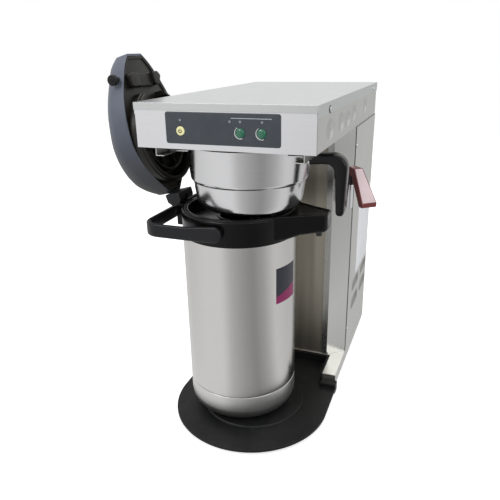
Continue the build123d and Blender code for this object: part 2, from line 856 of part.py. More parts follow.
def inlet_fitting():
    """Water inlet through the rear panel: shank, hexagon, relief groove and outer thread."""
    inside = back_y - sheet - 10
    end = back_y + inlet_reach
    fitting = rod_y(inlet_shank_radius, inside, end - inlet_thread, inlet_x, inlet_z)
    fitting += rod_y(inlet_radius, end - inlet_thread, end, inlet_x, inlet_z)
    hexagon = Plane((inlet_x, back_y, inlet_z), x_dir=(1, 0, 0), z_dir=(0, 1, 0))
    fitting += extrude(hexagon * RegularPolygon(inlet_hex, 6), inlet_hex_thickness)
    return fitting - rod_y(inlet_bore_radius, inside - 1, end + 1, inlet_x, inlet_z)


def inlet_valve():
    """Solenoid valve behind the inlet, with its coil on top."""
    back = back_y - sheet - 10
    half = inlet_radius + 3
    body = block(inlet_x - half, inlet_x + half, back - 2 * half, back, inlet_z - half + 2,
                 inlet_z + half - 2)
    return body + rod_z(half - 1, inlet_z, inlet_z + 40, inlet_x, back - half)


def inlet_hose():
    """Hose from the inlet valve to the tank's floor."""
    back = back_y - sheet - 10 - 2 * (inlet_radius + 3)
    turn = back - 28
    points = [(inlet_x, back, inlet_z), (inlet_x, turn, inlet_z), (inlet_x * 0.5, turn - 20, inlet_z),
              (inlet_x * 0.5, turn - 20, tank_bottom_z)]
    return tube(points, 14.0, hose_radius, hose_radius - 1.5)


def cord_gland():
    """Cable gland in the rear panel."""
    gland = rod_y(gland_radius, back_y, back_y + gland_reach, gland_x, gland_z)
    gland = chamfer(gland.edges().group_by(Axis.Y)[-1], 2.0)
    gland += rod_y(gland_radius - 2, back_y - 8, back_y, gland_x, gland_z)
    return gland - rod_y(gland_bore_radius, back_y - 9, back_y + gland_reach + 1, gland_x, gland_z)


def power_relay():
    """Switching relay with its terminals on the base under the tank."""
    width, depth, height = relay_size
    x0, y0 = relay_place
    low = base_top_z
    relay = block(x0 - width / 2, x0 + width / 2, y0 - depth / 2, y0 + depth / 2, low, low + height)
    for i in range(4):
        x = x0 - width / 2 + width * (i + 0.5) / 4
        relay += block(x - 3, x + 3, y0 - depth / 2 - 3, y0 - depth / 2, low + 6, low + 18)
    return relay


# Hot-water faucet


def faucet_frame():
    """Frame on the right chamfer: x along the chamfer, y up, z outwards."""
    start = Vector(chamfer_front_x, tower_front_y)
    end = Vector(side_inner_x, chamfer_side_y)
    along = (end - start).normalized()
    place = start + (end - start) * faucet_along
    return Plane((place.X, place.Y, faucet_z), x_dir=(along.X, along.Y, 0), z_dir=(along.Y, -along.X, 0))


def local_z(z):
    """Height in the faucet's frame of a height above the table."""
    return z - faucet_z


def faucet_shank():
    """Threaded shank through the chamfer, with its flange outside and its nut inside."""
    low = -sheet - shank_inside
    shank = turned([(shank_bore_radius, low), (shank_radius, low), (shank_radius, 0),
                    (washer_radius, 0), (washer_radius, washer_thickness, 1.0),
                    (shank_bore_radius, washer_thickness)])
    nut = extrude(RegularPolygon(nut_radius, 6), nut_thickness) - Cylinder(shank_radius, 40)
    nut = Pos(0, 0, -sheet - nut_thickness) * nut
    return faucet_frame() * Compound([shank.solid(), nut.solid()])


def upright_in_faucet(radius, z0, z1, x=0.0, out=None):
    """Upright cylinder in the faucet's frame."""
    out = faucet_reach if out is None else out
    return Pos(x, (local_z(z0) + local_z(z1)) / 2, out) * Rot(90, 0, 0) * Cylinder(radius, z1 - z0)


def across_faucet(points, half):
    """Prism across the faucet over an outline given as reach and height above the table."""
    flat = [(point[0], local_z(point[1])) + tuple(point[2:]) for point in points]
    side_view = Plane((0, 0, 0), x_dir=(0, 0, 1), z_dir=(-1, 0, 0)) * outline(flat)
    return Pos(half, 0, 0) * extrude(side_view, 2 * half)


def lever_axis(radius, half):
    """Cylinder on the lever's axis."""
    return Pos(0, local_z(lever_pin_z), lever_pin_reach) * Rot(0, 90, 0) * Cylinder(radius, 2 * half)


def faucet_body():
    """Faucet body: an upright barrel on a short neck, with a tongue that carries the lever."""
    neck = Pos(0, local_z((faucet_low_z + faucet_high_z) / 2), (washer_thickness + faucet_reach) / 2)
    body = neck * Cylinder(faucet_barrel_radius * 0.6, faucet_reach - washer_thickness)
    body += upright_in_faucet(faucet_barrel_radius, faucet_low_z, faucet_high_z)
    tongue_end = lever_pin_reach + tongue_round
    tongue = [(faucet_reach - tongue_round, faucet_high_z - 2), (faucet_reach - tongue_round, faucet_high_z + 2),
              (lever_pin_reach - tongue_round + tongue_slant, lever_pin_z + tongue_round, 3),
              (tongue_end, lever_pin_z + tongue_round, tongue_round - 0.1),
              (tongue_end, lever_pin_z - tongue_round, tongue_round - 0.1),
              (faucet_reach + tongue_round, faucet_high_z - 2)]
    body += across_faucet(tongue, tongue_thickness / 2)
    body -= upright_in_faucet(spout_radius, faucet_low_z - 1, faucet_low_z + spout_socket)
    body -= lever_axis(lever_pin_radius + hinge_fit, 40)
    return faucet_frame() * body


def faucet_spout():
    """Steel spout under the faucet body."""
    spout = upright_in_faucet(spout_radius, spout_end_z, faucet_low_z + spout_socket)
    spout -= upright_in_faucet(spout_bore_radius, spout_end_z - 1, faucet_low_z + spout_socket + 1)
    return faucet_frame() * spout


def faucet_lever():
    """Paddle that widens towards its tip, with a forked hub and its pin."""
    end_low = lever_tip_z - lever_end
    side_view = [(lever_hub_reach, lever_hub_z), (lever_hub_reach, lever_top_z, 2),
                 (lever_bend_reach, lever_top_z, 2), (lever_reach, lever_tip_z),
                 (lever_reach - 1, end_low), (lever_reach - lever_depth, end_low - 1),
                 (lever_bend_reach - lever_depth + 3, lever_hub_z)]
    lever = across_faucet(side_view, lever_tip_width)
    near = lever_hub_reach - 1
    bend = lever_bend_reach - lever_depth
    root = lever_root_width / 2
    tip = lever_tip_width / 2
    plan = [(near, root), (bend, root), (lever_reach, tip), (lever_reach + 9, tip),
            (lever_reach + 9, -tip), (lever_reach, -tip), (bend, -root), (near, -root)]
    view_down = Plane((0, 0, 0), x_dir=(0, 0, 1), z_dir=(0, 1, 0)) * outline(plan)
    lever &= Pos(0, -90, 0) * extrude(view_down, 180)
    half = tongue_thickness / 2 + fork_gap
    slot_end = lever_pin_reach + tongue_round + 2
    slot_top = lever_pin_z + tongue_round + 1.0
    slot = [(lever_hub_reach - 2, lever_hub_z - 8), (lever_hub_reach - 2, slot_top),
            (slot_end, slot_top), (slot_end, lever_hub_z - 8)]
    lever -= across_faucet(slot, half)
    lever += lever_axis(lever_pin_radius, root)
    return faucet_frame() * lever


# Brew cone


def cone_profile(inset):
    """Half-profile of the cone drawn in by the wall, from the axis out and up to the rim."""
    drop = inset * 0.9
    return [(cone_base_radius - inset, cone_bottom_z + inset, cone_bottom_round - inset),
            (cone_low_radius - inset, cone_low_z + drop * 0.4),
            (cone_step_radius - inset, cone_step_z + drop * 0.4),
            (cone_ridge_radius - inset, cone_ridge_z + drop * 0.4),
            (cone_rim_radius - inset, cone_rim_z)]


def cone_shell():
    """Spun steel cone with a step, an outlet in its floor and a runner on each side."""
    outer = turned([(0, cone_bottom_z)] + cone_profile(0) + [(0, cone_rim_z)])
    inner = [(0, cone_bottom_z + cone_wall)] + cone_profile(cone_wall)
    inner += [(cone_rim_radius - cone_wall, cone_rim_z + 5), (0, cone_rim_z + 5)]
    cone = outer
    runner_low = runner_top_z - runner_thickness
    for side in (-1, 1):
        runner = block(side * (cone_rim_radius - 14), side * runner_outer_x, -runner_half,
                       runner_half, runner_low, runner_top_z)
        cone += fillet(runner.edges().filter_by(Axis.Z), 3.0)
    cone += rod_z(outlet_radius + outlet_wall, cone_bottom_z - outlet_drop, cone_bottom_z, 0, 0)
    cone -= turned(inner)
    return cone - rod_z(outlet_radius, cone_bottom_z - outlet_drop - 1, cone_bottom_z + 5, 0, 0)


def cone_bracket():
    """Steel bracket between the cone's wall and its handle."""
    top = handle_top_z - bracket_margin
    low = handle_top_z - handle_arm + bracket_margin
    bracket = block(cone_ridge_radius - 6, handle_root_x, -bracket_half, bracket_half, low, top)
    return bracket - turned([(0, cone_bottom_z)] + cone_profile(0) + [(0, cone_rim_z)])


def cone_handle():
    """Black pistol handle: an arm that turns down into the grip."""
    low = handle_top_z - handle_arm
    inner_x = handle_outer_x - handle_grip
    tip_outer = handle_outer_x - 2.5
    tip_inner = tip_outer - handle_tip
    points = [(handle_root_x, low), (inner_x - 2, low + 2, 10), (tip_inner, handle_tip_z, 4.5),
              (tip_outer, handle_tip_z, 5), (handle_outer_x, handle_top_z + 1, 16),
              (handle_root_x, handle_top_z)]
    handle = across(points, handle_width / 2)
    return fillet(handle.edges().filter_by(GeomType.LINE).filter_by(
        lambda edge: edge.length > 20 and abs(abs(edge.center().Y) - handle_width / 2) < 0.01),
        handle_round)


def wire_basket():
    """Wire basket that keeps the paper filter off the cone's wall."""
    foot_z = cone_bottom_z + cone_wall + basket_overrun + 0.5
    spread = basket_high_radius - basket_low_radius
    rise = basket_top_z - foot_z
    slope = math.degrees(math.atan2(spread, rise))
    length = math.hypot(spread, rise)
    wire = Cylinder(basket_wire, length + 2 * basket_overrun)
    wire = Pos(basket_low_radius + basket_weld, 0, foot_z) * Rot(0, slope, 0) * Pos(0, 0, length / 2) * wire
    wires = [Rot(0, 0, 360 * (i + 0.5) / basket_wires) * wire for i in range(basket_wires)]
    hoops = []
    for radius, z in ((basket_low_radius, foot_z), (basket_high_radius, basket_top_z)):
        hoops.append(Pos(0, 0, z) * revolve(Pos(radius, 0, 0) * (Plane.XZ * Circle(basket_rim_wire)), Axis.Z))
    basket = Part() + hoops + wires
    reach = basket_low_radius + 2 * basket_wire
    for angle in (22.5, 112.5):
        basket += Rot(0, 0, angle) * rod_x(basket_wire, -reach, reach, 0, foot_z - basket_weld)
    return basket


# Airpot


def airpot_body():
    """Outer steel tube of the airpot."""
    inner = pot_radius - pot_wall
    return Pos(pot_x, 0, 0) * turned([(inner, pot_seam_z), (pot_radius, pot_seam_z),
                                      (pot_radius, pot_top_z), (inner, pot_top_z)])


def airpot_bottom_cup():
    """Rounded steel bottom of the airpot."""
    inner = pot_radius - pot_wall
    hole = base_spigot_radius + base_ring_gap
    floor = pot_bottom_z + pot_wall
    cup = turned([(hole, pot_bottom_z), (pot_radius, pot_bottom_z, pot_bottom_round),
                  (pot_radius, pot_seam_z), (inner, pot_seam_z),
                  (inner, floor, pot_bottom_round - pot_wall), (hole, floor)])
    return Pos(pot_x, 0, 0) * cup


def airpot_base_ring():
    """Black turntable ring under the airpot, with the spigot that carries the liner."""
    low = plateau_top_z + base_ring_gap
    floor = pot_bottom_z + pot_wall
    ring = turned([(0, low), (base_ring_radius, low), (base_ring_radius, pot_bottom_z),
                   (base_spigot_radius, pot_bottom_z), (base_spigot_radius, floor),
                   (base_spigot_radius + 4, floor), (base_spigot_radius, floor + 3),
                   (base_spigot_radius, base_spigot_top_z), (0, base_spigot_top_z)])
    return Pos(pot_x, 0, 0) * ring


def vacuum_liner():
    """Inner steel bottle of the airpot with its narrow neck."""
    low = base_spigot_top_z
    neck_top = deck_z - deck_thickness
    outer = [(0, low), (liner_radius, low, 14), (liner_radius, liner_shoulder_z, 26),
             (neck_radius, liner_shoulder_z + 22, 6), (neck_radius, neck_top)]
    inner = [(neck_radius - liner_wall, neck_top),
             (neck_radius - liner_wall, liner_shoulder_z + 22 - liner_wall, 6.5),
             (liner_radius - liner_wall, liner_shoulder_z - liner_wall, 25.5),
             (liner_radius - liner_wall, low + liner_wall, 13.2), (0, low + liner_wall)]
    return Pos(pot_x, 0, 0) * turned(outer + inner)


def siphon_path():
    """Route from the bottle's floor up through the mouth and along the deck to the beak."""
    run_z = deck_z + siphon_radius + 1.5
    x0 = pot_x + siphon_x
    nozzle = pot_x + nozzle_x
    return [(x0, siphon_y, siphon_low_z), (x0, siphon_y, run_z), (nozzle - 30, siphon_y, run_z),
            (nozzle, 0, run_z), (nozzle, 0, nozzle_z)]


def airpot_collar():
    """Black collar with a recessed deck, the mouth, the pouring beak, the spine and the hinge lugs."""
    wall_inner = pot_radius - collar_wall
    spigot_outer = pot_radius - pot_wall - base_ring_gap
    low_deck = deck_z - deck_thickness
    skirt_outer = neck_radius - liner_wall - 0.3
    beak = [(beak_root_x, beak_root_half), (beak_mid_x, beak_mid_half),
            (beak_reach, beak_tip_half, 3), (beak_reach, -beak_tip_half, 3),
            (beak_mid_x, -beak_mid_half), (beak_root_x, -beak_root_half)]
    spout = upright(outline(beak), beak_bottom_z, collar_top_z)
    hollow = outline([(beak_root_x - 1, beak_root_half - 7), (beak_mid_x, beak_mid_half - beak_wall),
                      (beak_reach - beak_wall, beak_tip_half - beak_wall),
                      (beak_reach - beak_wall, beak_wall - beak_tip_half),
                      (beak_mid_x, beak_wall - beak_mid_half), (beak_root_x - 1, 7 - beak_root_half)])
    spout -= upright(hollow, beak_bottom_z - 1, collar_top_z - beak_wall)
    spout -= rod_z(pot_radius - 0.5, beak_bottom_z - 1, collar_top_z + 1, 0, 0)
    collar = turned([(pot_radius, pot_top_z), (pot_radius, collar_top_z, 2),
                     (pot_radius - collar_rim, collar_top_z, 1.5),
                     (pot_radius - collar_rim - 1, deck_z), (mouth_radius, deck_z, 1),
                     (mouth_radius, deck_z - mouth_depth), (skirt_outer, deck_z - mouth_depth),
                     (skirt_outer, low_deck), (wall_inner, low_deck),
                     (wall_inner, pot_top_z - collar_spigot),
                     (spigot_outer, pot_top_z - collar_spigot), (spigot_outer, pot_top_z)])
    for side in (-1, 1):
        boss_end = side * (bail_half - bail_strap - bail_side_gap)
        collar += rod_y(bail_boss_radius, side * (pot_radius - 4), boss_end, 0, bail_pivot_z)
    collar = Pos(pot_x, 0, 0) * (collar + spout)
    rim_x = pot_x - pot_radius + 2
    spine = block(spine_outer_x, rim_x, -spine_half, spine_half, spine_bottom_z, hinge_z)
    spine -= rod_z(pot_radius + seat_gap, spine_bottom_z - 1, pot_top_z, pot_x, 0)
    collar += spine
    collar += block(hinge_x, rim_x, -spine_half, spine_half, hinge_z - 1, collar_top_z)
    collar += rod_y(knuckle_radius, -spine_half, spine_half, hinge_x, hinge_z)
    collar -= rod_y(hinge_pin_radius + hinge_fit, -hinge_pin_half, hinge_pin_half, hinge_x, hinge_z)
    for side in (-1, 1):
        collar -= rod_y(bail_pin_radius, side * (pot_radius - 3), side * bail_half, pot_x, bail_pivot_z)
    route = siphon_path()
    bore = siphon_radius + siphon_gap
    collar -= rod_x(bore, pot_x + 60, route[2][0] + 4, siphon_y, route[1][2])
    return collar


def siphon_tube():
    """Tube from the bottle's floor to the nozzle under the beak."""
    route = siphon_path()
    siphon = tube(route, 7.0, siphon_radius, siphon_bore)
    nozzle_place = Pos(pot_x + nozzle_x, 0, nozzle_z)
    nozzle = turned([(siphon_bore, 0), (nozzle_radius - 1, 0), (nozzle_radius, nozzle_height),
                     (siphon_bore, nozzle_height)])
    return siphon + nozzle_place * nozzle


def hinge_pin():
    """Pin of the lid's hinge."""
    return rod_y(hinge_pin_radius, -hinge_pin_half, hinge_pin_half, hinge_x, hinge_z)


def bail_pivots():
    """Two pins in the collar's bosses that the bail turns on."""
    pins = []
    for side in (-1, 1):
        end = side * (bail_half - bail_strap + bail_pin_depth)
        pins.append(rod_y(bail_pin_radius, side * (pot_radius - 3), end, pot_x, bail_pivot_z))
    return Compound(pins)


def airpot_bail():
    """Carrying bail: a flat strap bent round the hinge side, taller towards its rounded pivot ends."""
    end_x = pot_x + bail_end_radius
    inner_half = bail_half - bail_strap
    inner_x = bail_outer_x + bail_bar
    outer = [(end_x, bail_half), (bail_outer_x, bail_half, bail_corner),
             (bail_outer_x, -bail_half, bail_corner), (end_x, -bail_half)]
    inner = [(end_x + 1, inner_half), (inner_x, inner_half, bail_corner - bail_strap),
             (inner_x, -inner_half, bail_corner - bail_strap), (end_x + 1, -inner_half)]
    bail = upright(outline(outer) - outline(inner), 0, machine_height)
    high = bail_pivot_z + bail_end_radius
    low = bail_pivot_z - bail_end_radius
    side_view = [(bail_outer_x - 1, bail_bottom_z), (bail_outer_x - 1, bail_top_z),
                 (bail_outer_x + bail_corner, bail_top_z), (pot_x - 2 * bail_corner, high),
                 (end_x, high, bail_end_radius - 0.1), (end_x, low, bail_end_radius - 0.1),
                 (pot_x - 2 * bail_corner, low)]
    bail &= across(side_view, bail_half + 1)
    for side in (-1, 1):
        end = side * (inner_half + bail_pin_depth + bail_pin_fit)
        bail -= rod_y(bail_pin_radius + bail_pin_fit, side * (inner_half - 1), end, pot_x, bail_pivot_z)
    return bail


# Lid of the airpot


def lid_frame():
    """Frame of the open lid: x from hinge to nose along the rim, z from the rim to the crown."""
    tilt = math.radians(lid_open_angle)
    return Plane((lid_plane_x, 0, lid_plane_z), x_dir=(math.cos(tilt), 0, math.sin(tilt)),
                 z_dir=(-math.sin(tilt), 0, math.cos(tilt)))


def lid_section(s, half, depth, drop):
    """Rounded cross-section at one place along the lid; drop carries it below the rim plane."""
    points = []
    for angle in (0, 20, 45, 70, 90, 110, 135, 160, 180):
        turn = math.radians(angle)
        c = math.cos(turn)
        across_y = half * math.copysign(abs(c) ** lid_squareness, c)
        points.append((across_y, depth * math.sin(turn) ** lid_squareness))
    points[0] = (half, 0)
    points[-1] = (-half, 0)
    crown = Spline(*points)
    base = Polyline((-half, 0), (-half, -drop), (half, -drop), (half, 0)) if drop else Line(
        (-half, 0), (half, 0))
    place = Plane((s, 0, 0), x_dir=(0, 1, 0), z_dir=(1, 0, 0))
    return place * make_face(crown + base)


def lid_bulge(inset, drop=0.0):
    """Solid bulge of the lid, drawn in on all sides by an inset."""
    sections = []
    for i, (s, half, depth) in enumerate(lid_sections):
        if i == 0:
            s += inset
        if i == len(lid_sections) - 1:
            s -= inset
        sections.append(lid_section(s, half - inset, depth - inset, drop))
    return loft(sections)


def hinge_in_lid():
    """Hinge axis in the lid's frame."""
    place = lid_frame().to_local_coords(Vector(hinge_x, 0, hinge_z))
    return place.X, place.Z


def lid_shell():
    """Outer shell of the lid with the opening for the pump lever and its axle holes."""
    shell = lid_bulge(0) - lid_bulge(lid_wall, drop=1.0)
    gap = paddle_side_gap
    shell -= block(paddle_start_s - paddle_end_gap, paddle_end_s + gap, -paddle_half - gap,
                   paddle_half + gap, paddle_window_d, 90)
    widest = max(half for s, half, depth in lid_sections)
    shell -= rod_y(lever_axle_radius + lever_axle_fit, -widest, widest, lever_axle_s, lever_axle_d)
    return lid_frame() * shell


def lid_underside():
    """Black inner plate that closes the lid, with a box across the nose end."""
    end_s = lid_sections[-1][0]
    widest = max(half for s, half, depth in lid_sections)
    plate = lid_bulge(lid_wall) & block(0, end_s, -widest, widest, -1, underside_thickness)
    side_view = [(nose_box_start_s, 1), (nose_box_start_s + 2, -nose_box_depth, 2),
                 (nose_box_end_s - 2, -nose_box_depth, 2), (nose_box_end_s, 1)]
    return lid_frame() * (plate + across(side_view, nose_box_half))


def lid_hinge_block():
    """Forked block on the lid's end that takes the collar's knuckle between its cheeks."""
    pin_s, pin_d = hinge_in_lid()
    top_s = pin_s + block_rise
    low_s = pin_s - block_drop
    inner_d = pin_d - block_reach
    outer_d = pin_d + block_back
    points = [(top_s, outer_d), (top_s, inner_d, 2), (pin_s + 3, inner_d, 2), (low_s + 2.5, inner_d + 3, 2),
              (low_s, pin_d + 1, 2), (pin_s + 2, outer_d - 1, 2)]
    hinge = across(points, block_half)
    slot_half = spine_half + hinge_side_gap
    hinge -= block(low_s - 1, pin_s + knuckle_radius + 1.5, -slot_half, slot_half, inner_d - 1,
                   pin_d + knuckle_radius + 1)
    hinge -= rod_y(hinge_pin_radius + hinge_fit, -hinge_pin_half - hinge_fit, hinge_pin_half + hinge_fit,
                   pin_s, pin_d)
    return lid_frame() * hinge


def lid_seal():
    """Soft ring on the lid's underside that closes the deck."""
    inner = seal_radius - seal_width
    ring = turned([(inner, 0), (inner, -seal_height + 3, 2), (inner + seal_width / 2, -seal_height, 2),
                   (seal_radius, -seal_height + 3, 2), (seal_radius, 0)])
    ring -= block(0, 2 * seal_radius, -seal_notch_half, seal_notch_half, -2 * seal_height, 1)
    return lid_frame() * Pos(seal_s, 0, 0) * ring


def pump_bellows():
    """Folded rubber bellows inside the lid, drawn at its pressed height."""
    points = [(0, 0)]
    fold = bellows_height / bellows_folds
    for i in range(bellows_folds):
        points.append((bellows_radius - bellows_fold_depth, i * fold))
        points.append((bellows_radius, (i + 0.5) * fold))
    points.append((bellows_radius - bellows_fold_depth, bellows_height))
    points.append((0, bellows_height))
    return lid_frame() * Pos(seal_s, 0, underside_thickness) * turned(points)


def pump_lever():
    """Paddle in the lid's crown with two ribs down to its axle and a knob at each end."""
    window = block(paddle_start_s, paddle_end_s, -paddle_half, paddle_half, paddle_window_d, 90)
    paddle = (lid_bulge(0) - lid_bulge(lid_wall)) & window
    for side in (-1, 1):
        outer = side * (paddle_half - 1)
        rib = block(lever_rib_start_s, paddle_end_s, outer, outer - side * lever_rib,
                    lever_axle_d - lever_axle_radius, 90)
        rib -= block(0, paddle_end_s - 18, -100, 100, -1, 24)
        paddle += rib & lid_bulge(lid_wall)
    paddle += rod_y(lever_axle_radius, -lever_knob_y, lever_knob_y, lever_axle_s, lever_axle_d)
    for side in (-1, 1):
        start = side * lever_knob_y
        paddle += rod_y(lever_knob_radius, start, start + side * lever_knob_height,
                        lever_axle_s, lever_axle_d)
    return lid_frame() * paddle


nodes = {
    "base_chassis": base_chassis,
    "drip_plate": drip_plate,
    "rear_feet": rear_feet,
    "left_corner_post": lambda: corner_post(-1),
    "right_corner_post": lambda: corner_post(1),
    "splash_panel": splash_panel,
    "left_side_panel": lambda: side_panel(-1),
    "right_side_panel": lambda: side_panel(1),
    "rear_panel": rear_panel,
    "head_front": head_front,
    "head_sides": head_sides,
    "head_floor": head_floor,
    "top_cover": top_cover,
    "casing_screws": casing_screws,
    "control_panel": control_panel,
    "power_button": lambda: button(power_x, power_radius, 0.3),
    "brew_button_left": lambda: button(brew_button_x[0], brew_button_radius, button_dome),
    "brew_button_right": lambda: button(brew_button_x[1], brew_button_radius, button_dome),
    "button_rings": button_rings,
    "indicator_lights": indicator_lights,
    "control_board": control_board,
    "button_switches": button_switches,
    "brew_rails": brew_rails,
    "spray_head": spray_head,
    "spray_tube": spray_tube,
    "water_tank": water_tank,
    "tank_gasket": tank_gasket,
    "tank_lid": tank_lid,
    "heating_element": heating_element,
    "tank_probes": tank_probes,
    "brew_valve": brew_valve,
    "inlet_fitting": inlet_fitting,
    "inlet_valve": inlet_valve,
    "inlet_hose": inlet_hose,
    "cord_gland": cord_gland,
    "power_relay": power_relay,
    "faucet_shank": faucet_shank,
    "faucet_body": faucet_body,
    "faucet_spout": faucet_spout,
    "faucet_lever": faucet_lever,
    "cone_shell": cone_shell,
    "cone_bracket": cone_bracket,
    "cone_handle": cone_handle,
    "wire_basket": wire_basket,
    "airpot_body": airpot_body,
    "airpot_bottom_cup": airpot_bottom_cup,
    "airpot_base_ring": airpot_base_ring,
    "vacuum_liner": vacuum_liner,
    "airpot_collar": airpot_collar,
    "siphon_tube": siphon_tube,
    "hinge_pin": hinge_pin,
    "bail_pivots": bail_pivots,
    "airpot_bail": airpot_bail,
    "lid_shell": lid_shell,
    "lid_underside": lid_underside,
    "lid_hinge_block": lid_hinge_block,
    "lid_seal": lid_seal,
    "pump_bellows": pump_bellows,
    "pump_lever": pump_lever,
}

os.makedirs("parts", exist_ok=True)
for name, make in nodes.items():
    export_step(make(), f"parts/{name}.step")
    print(name)
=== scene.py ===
import json
import math

import bmesh
import bpy
import numpy as np
from mathutils import Matrix, Vector


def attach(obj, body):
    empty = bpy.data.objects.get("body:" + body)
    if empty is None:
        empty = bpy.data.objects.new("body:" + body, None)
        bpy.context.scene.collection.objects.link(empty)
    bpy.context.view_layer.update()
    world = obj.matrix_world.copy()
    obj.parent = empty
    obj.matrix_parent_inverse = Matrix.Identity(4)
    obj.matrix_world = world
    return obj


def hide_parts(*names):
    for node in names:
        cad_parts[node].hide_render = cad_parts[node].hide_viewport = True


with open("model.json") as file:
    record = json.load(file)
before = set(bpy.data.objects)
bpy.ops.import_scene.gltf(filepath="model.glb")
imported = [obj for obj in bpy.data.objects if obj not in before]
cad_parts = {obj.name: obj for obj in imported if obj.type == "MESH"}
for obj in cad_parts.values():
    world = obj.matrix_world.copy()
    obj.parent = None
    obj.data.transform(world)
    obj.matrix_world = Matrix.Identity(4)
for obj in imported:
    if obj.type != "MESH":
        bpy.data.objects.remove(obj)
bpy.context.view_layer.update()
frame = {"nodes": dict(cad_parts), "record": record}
nodes = frame["nodes"]
record = frame["record"]
bodyOf = {node: body for body, held in record["behaviour"]["bodies"].items() for node in held}
mm = 0.001
print("frame loaded:", len(nodes), "nodes")

upFrame = ((0, 0, 0), (1, 0, 0), (0, 1, 0), (0, 0, 1))         # origin and the three directions


def gridFaces(rows, cols, closeRows=False, closeCols=False):
    # Quads between neighbours of a rows x cols grid; a closed side joins its last line to its first.
    i = np.arange(rows if closeRows else rows - 1)
    j = np.arange(cols if closeCols else cols - 1)
    a, b = np.meshgrid(i, j, indexing="ij")
    nextA, nextB = (a + 1) % rows, (b + 1) % cols
    quads = [a * cols + b, nextA * cols + b, nextA * cols + nextB, a * cols + nextB]
    return np.stack(quads, -1).reshape(-1, 4)


def carried(outlines):
    # Rows of closed outlines joined into one skin, with one face over each end.
    rows, cols = outlines.shape[:2]
    faces = gridFaces(rows, cols, closeCols=True).tolist()
    ends = [list(range(cols))[::-1], list(range((rows - 1) * cols, rows * cols))]
    return outlines.reshape(-1, 3), faces + ends


def placed(points, place):
    # Points (a, b, h) set into a frame: origin + a A + b B + h C.
    origin, a, b, c = (np.array(v, float) for v in place)
    points = np.asarray(points, float)
    return origin + points[..., :1] * a + points[..., 1:2] * b + points[..., 2:3] * c


def moved(part, place):
    return placed(part[0], place), part[1]


def lathe(profile, centre=(0, 0), steps=192):
    # A closed outline of (radius, height) carried round an upright axis: x = r cos t, y = r sin t.
    turn = np.linspace(0, 2 * np.pi, steps, endpoint=False)
    radius, height = np.asarray(profile, float).T[:, :, None]
    x, y = centre[0] + radius * np.cos(turn), centre[1] + radius * np.sin(turn)
    faces = gridFaces(len(radius), steps, closeRows=True, closeCols=True).tolist()
    return np.stack([x, y, np.broadcast_to(height, x.shape)], -1).reshape(-1, 3), faces


def partLathe(profile, start, end, steps=120):
    # The same over part of a turn, closed at both ends; angles in degrees.
    turn = np.radians(np.linspace(start, end, steps))[:, None]
    radius, height = np.asarray(profile, float).T
    x, y = radius * np.cos(turn), radius * np.sin(turn)
    return carried(np.stack([x, y, np.broadcast_to(height, x.shape)], -1))


def rounded(points, steps=6):
    # An outline of (a, b) or (a, b, radius) with an arc of that radius at each such corner.
    out = []
    for i, point in enumerate(points):
        here = np.array(point[:2], float)
        radius = point[2] if len(point) > 2 else 0
        if not radius:
            out.append(here[None])
            continue
        back = np.array(points[i - 1][:2], float) - here
        ahead = np.array(points[(i + 1) % len(points)][:2], float) - here
        back /= np.linalg.norm(back)
        ahead /= np.linalg.norm(ahead)
        half = math.acos(float(np.clip(back @ ahead, -1, 1))) / 2
        start, end = here + back * radius / math.tan(half), here + ahead * radius / math.tan(half)
        centre = here + (back + ahead) / np.linalg.norm(back + ahead) * radius / math.sin(half)
        a, b = start - centre, end - centre
        angle = math.acos(float(np.clip(a @ b / radius ** 2, -1, 1)))
        t = np.linspace(0, 1, steps + 1)[:, None]
        out.append(centre + (np.sin((1 - t) * angle) * a + np.sin(t * angle) * b) / math.sin(angle))
    return np.concatenate(out)


def oblong(left, low, right, high, radii=0, steps=6):
    # A rectangle with rounded corners: one radius, or four from (left, low) round to (left, high).
    corners = ((left, low), (right, low), (right, high), (left, high))
    return rounded([(*corner, radius) for corner, radius in zip(corners, np.broadcast_to(radii, 4))], steps)


def circleOutline(radius, steps=48):
    turn = np.linspace(0, 2 * np.pi, steps, endpoint=False)
    return np.column_stack([radius * np.cos(turn), radius * np.sin(turn)])


def spaced(points, count):
    # A line through points, divided anew into equal steps of its length.
    points = np.asarray(points, float)
    run = np.concatenate([[0], np.cumsum(np.linalg.norm(np.diff(points, axis=0), axis=1))])
    at = np.linspace(0, run[-1], count)
    return np.stack([np.interp(at, run, column) for column in points.T], -1)


def through(x, knots, values):
    # A smooth line through the values: cubics whose slopes at the knots are the mean of both sides.
    knots, values = np.asarray(knots, float), np.asarray(values, float)
    slopes = np.gradient(values, knots)
    i = np.clip(np.searchsorted(knots, x) - 1, 0, len(knots) - 2)
    width = knots[i + 1] - knots[i]
    t = np.clip((x - knots[i]) / width, 0, 1)
    rise = (2 * t ** 3 - 3 * t ** 2 + 1) * values[i] + (3 * t ** 2 - 2 * t ** 3) * values[i + 1]
    return rise + (t ** 3 - 2 * t ** 2 + t) * width * slopes[i] + (t ** 3 - t ** 2) * width * slopes[i + 1]


def unit(rows):
    return rows / np.linalg.norm(rows, axis=1, keepdims=True)


def inset(outline, by):
    # An outline that runs anticlockwise, with every side moved inwards by the same amount.
    back, ahead = unit(outline - np.roll(outline, 1, 0)), unit(np.roll(outline, -1, 0) - outline)
    backIn = np.stack([-back[:, 1], back[:, 0]], -1)
    middle = backIn + np.stack([-ahead[:, 1], ahead[:, 0]], -1)
    scale = by / np.maximum((middle * backIn).sum(1), 0.3)
    return outline + middle * scale[:, None]


def skin(rows, place=upFrame):
    return moved(carried(np.array(rows)), place)


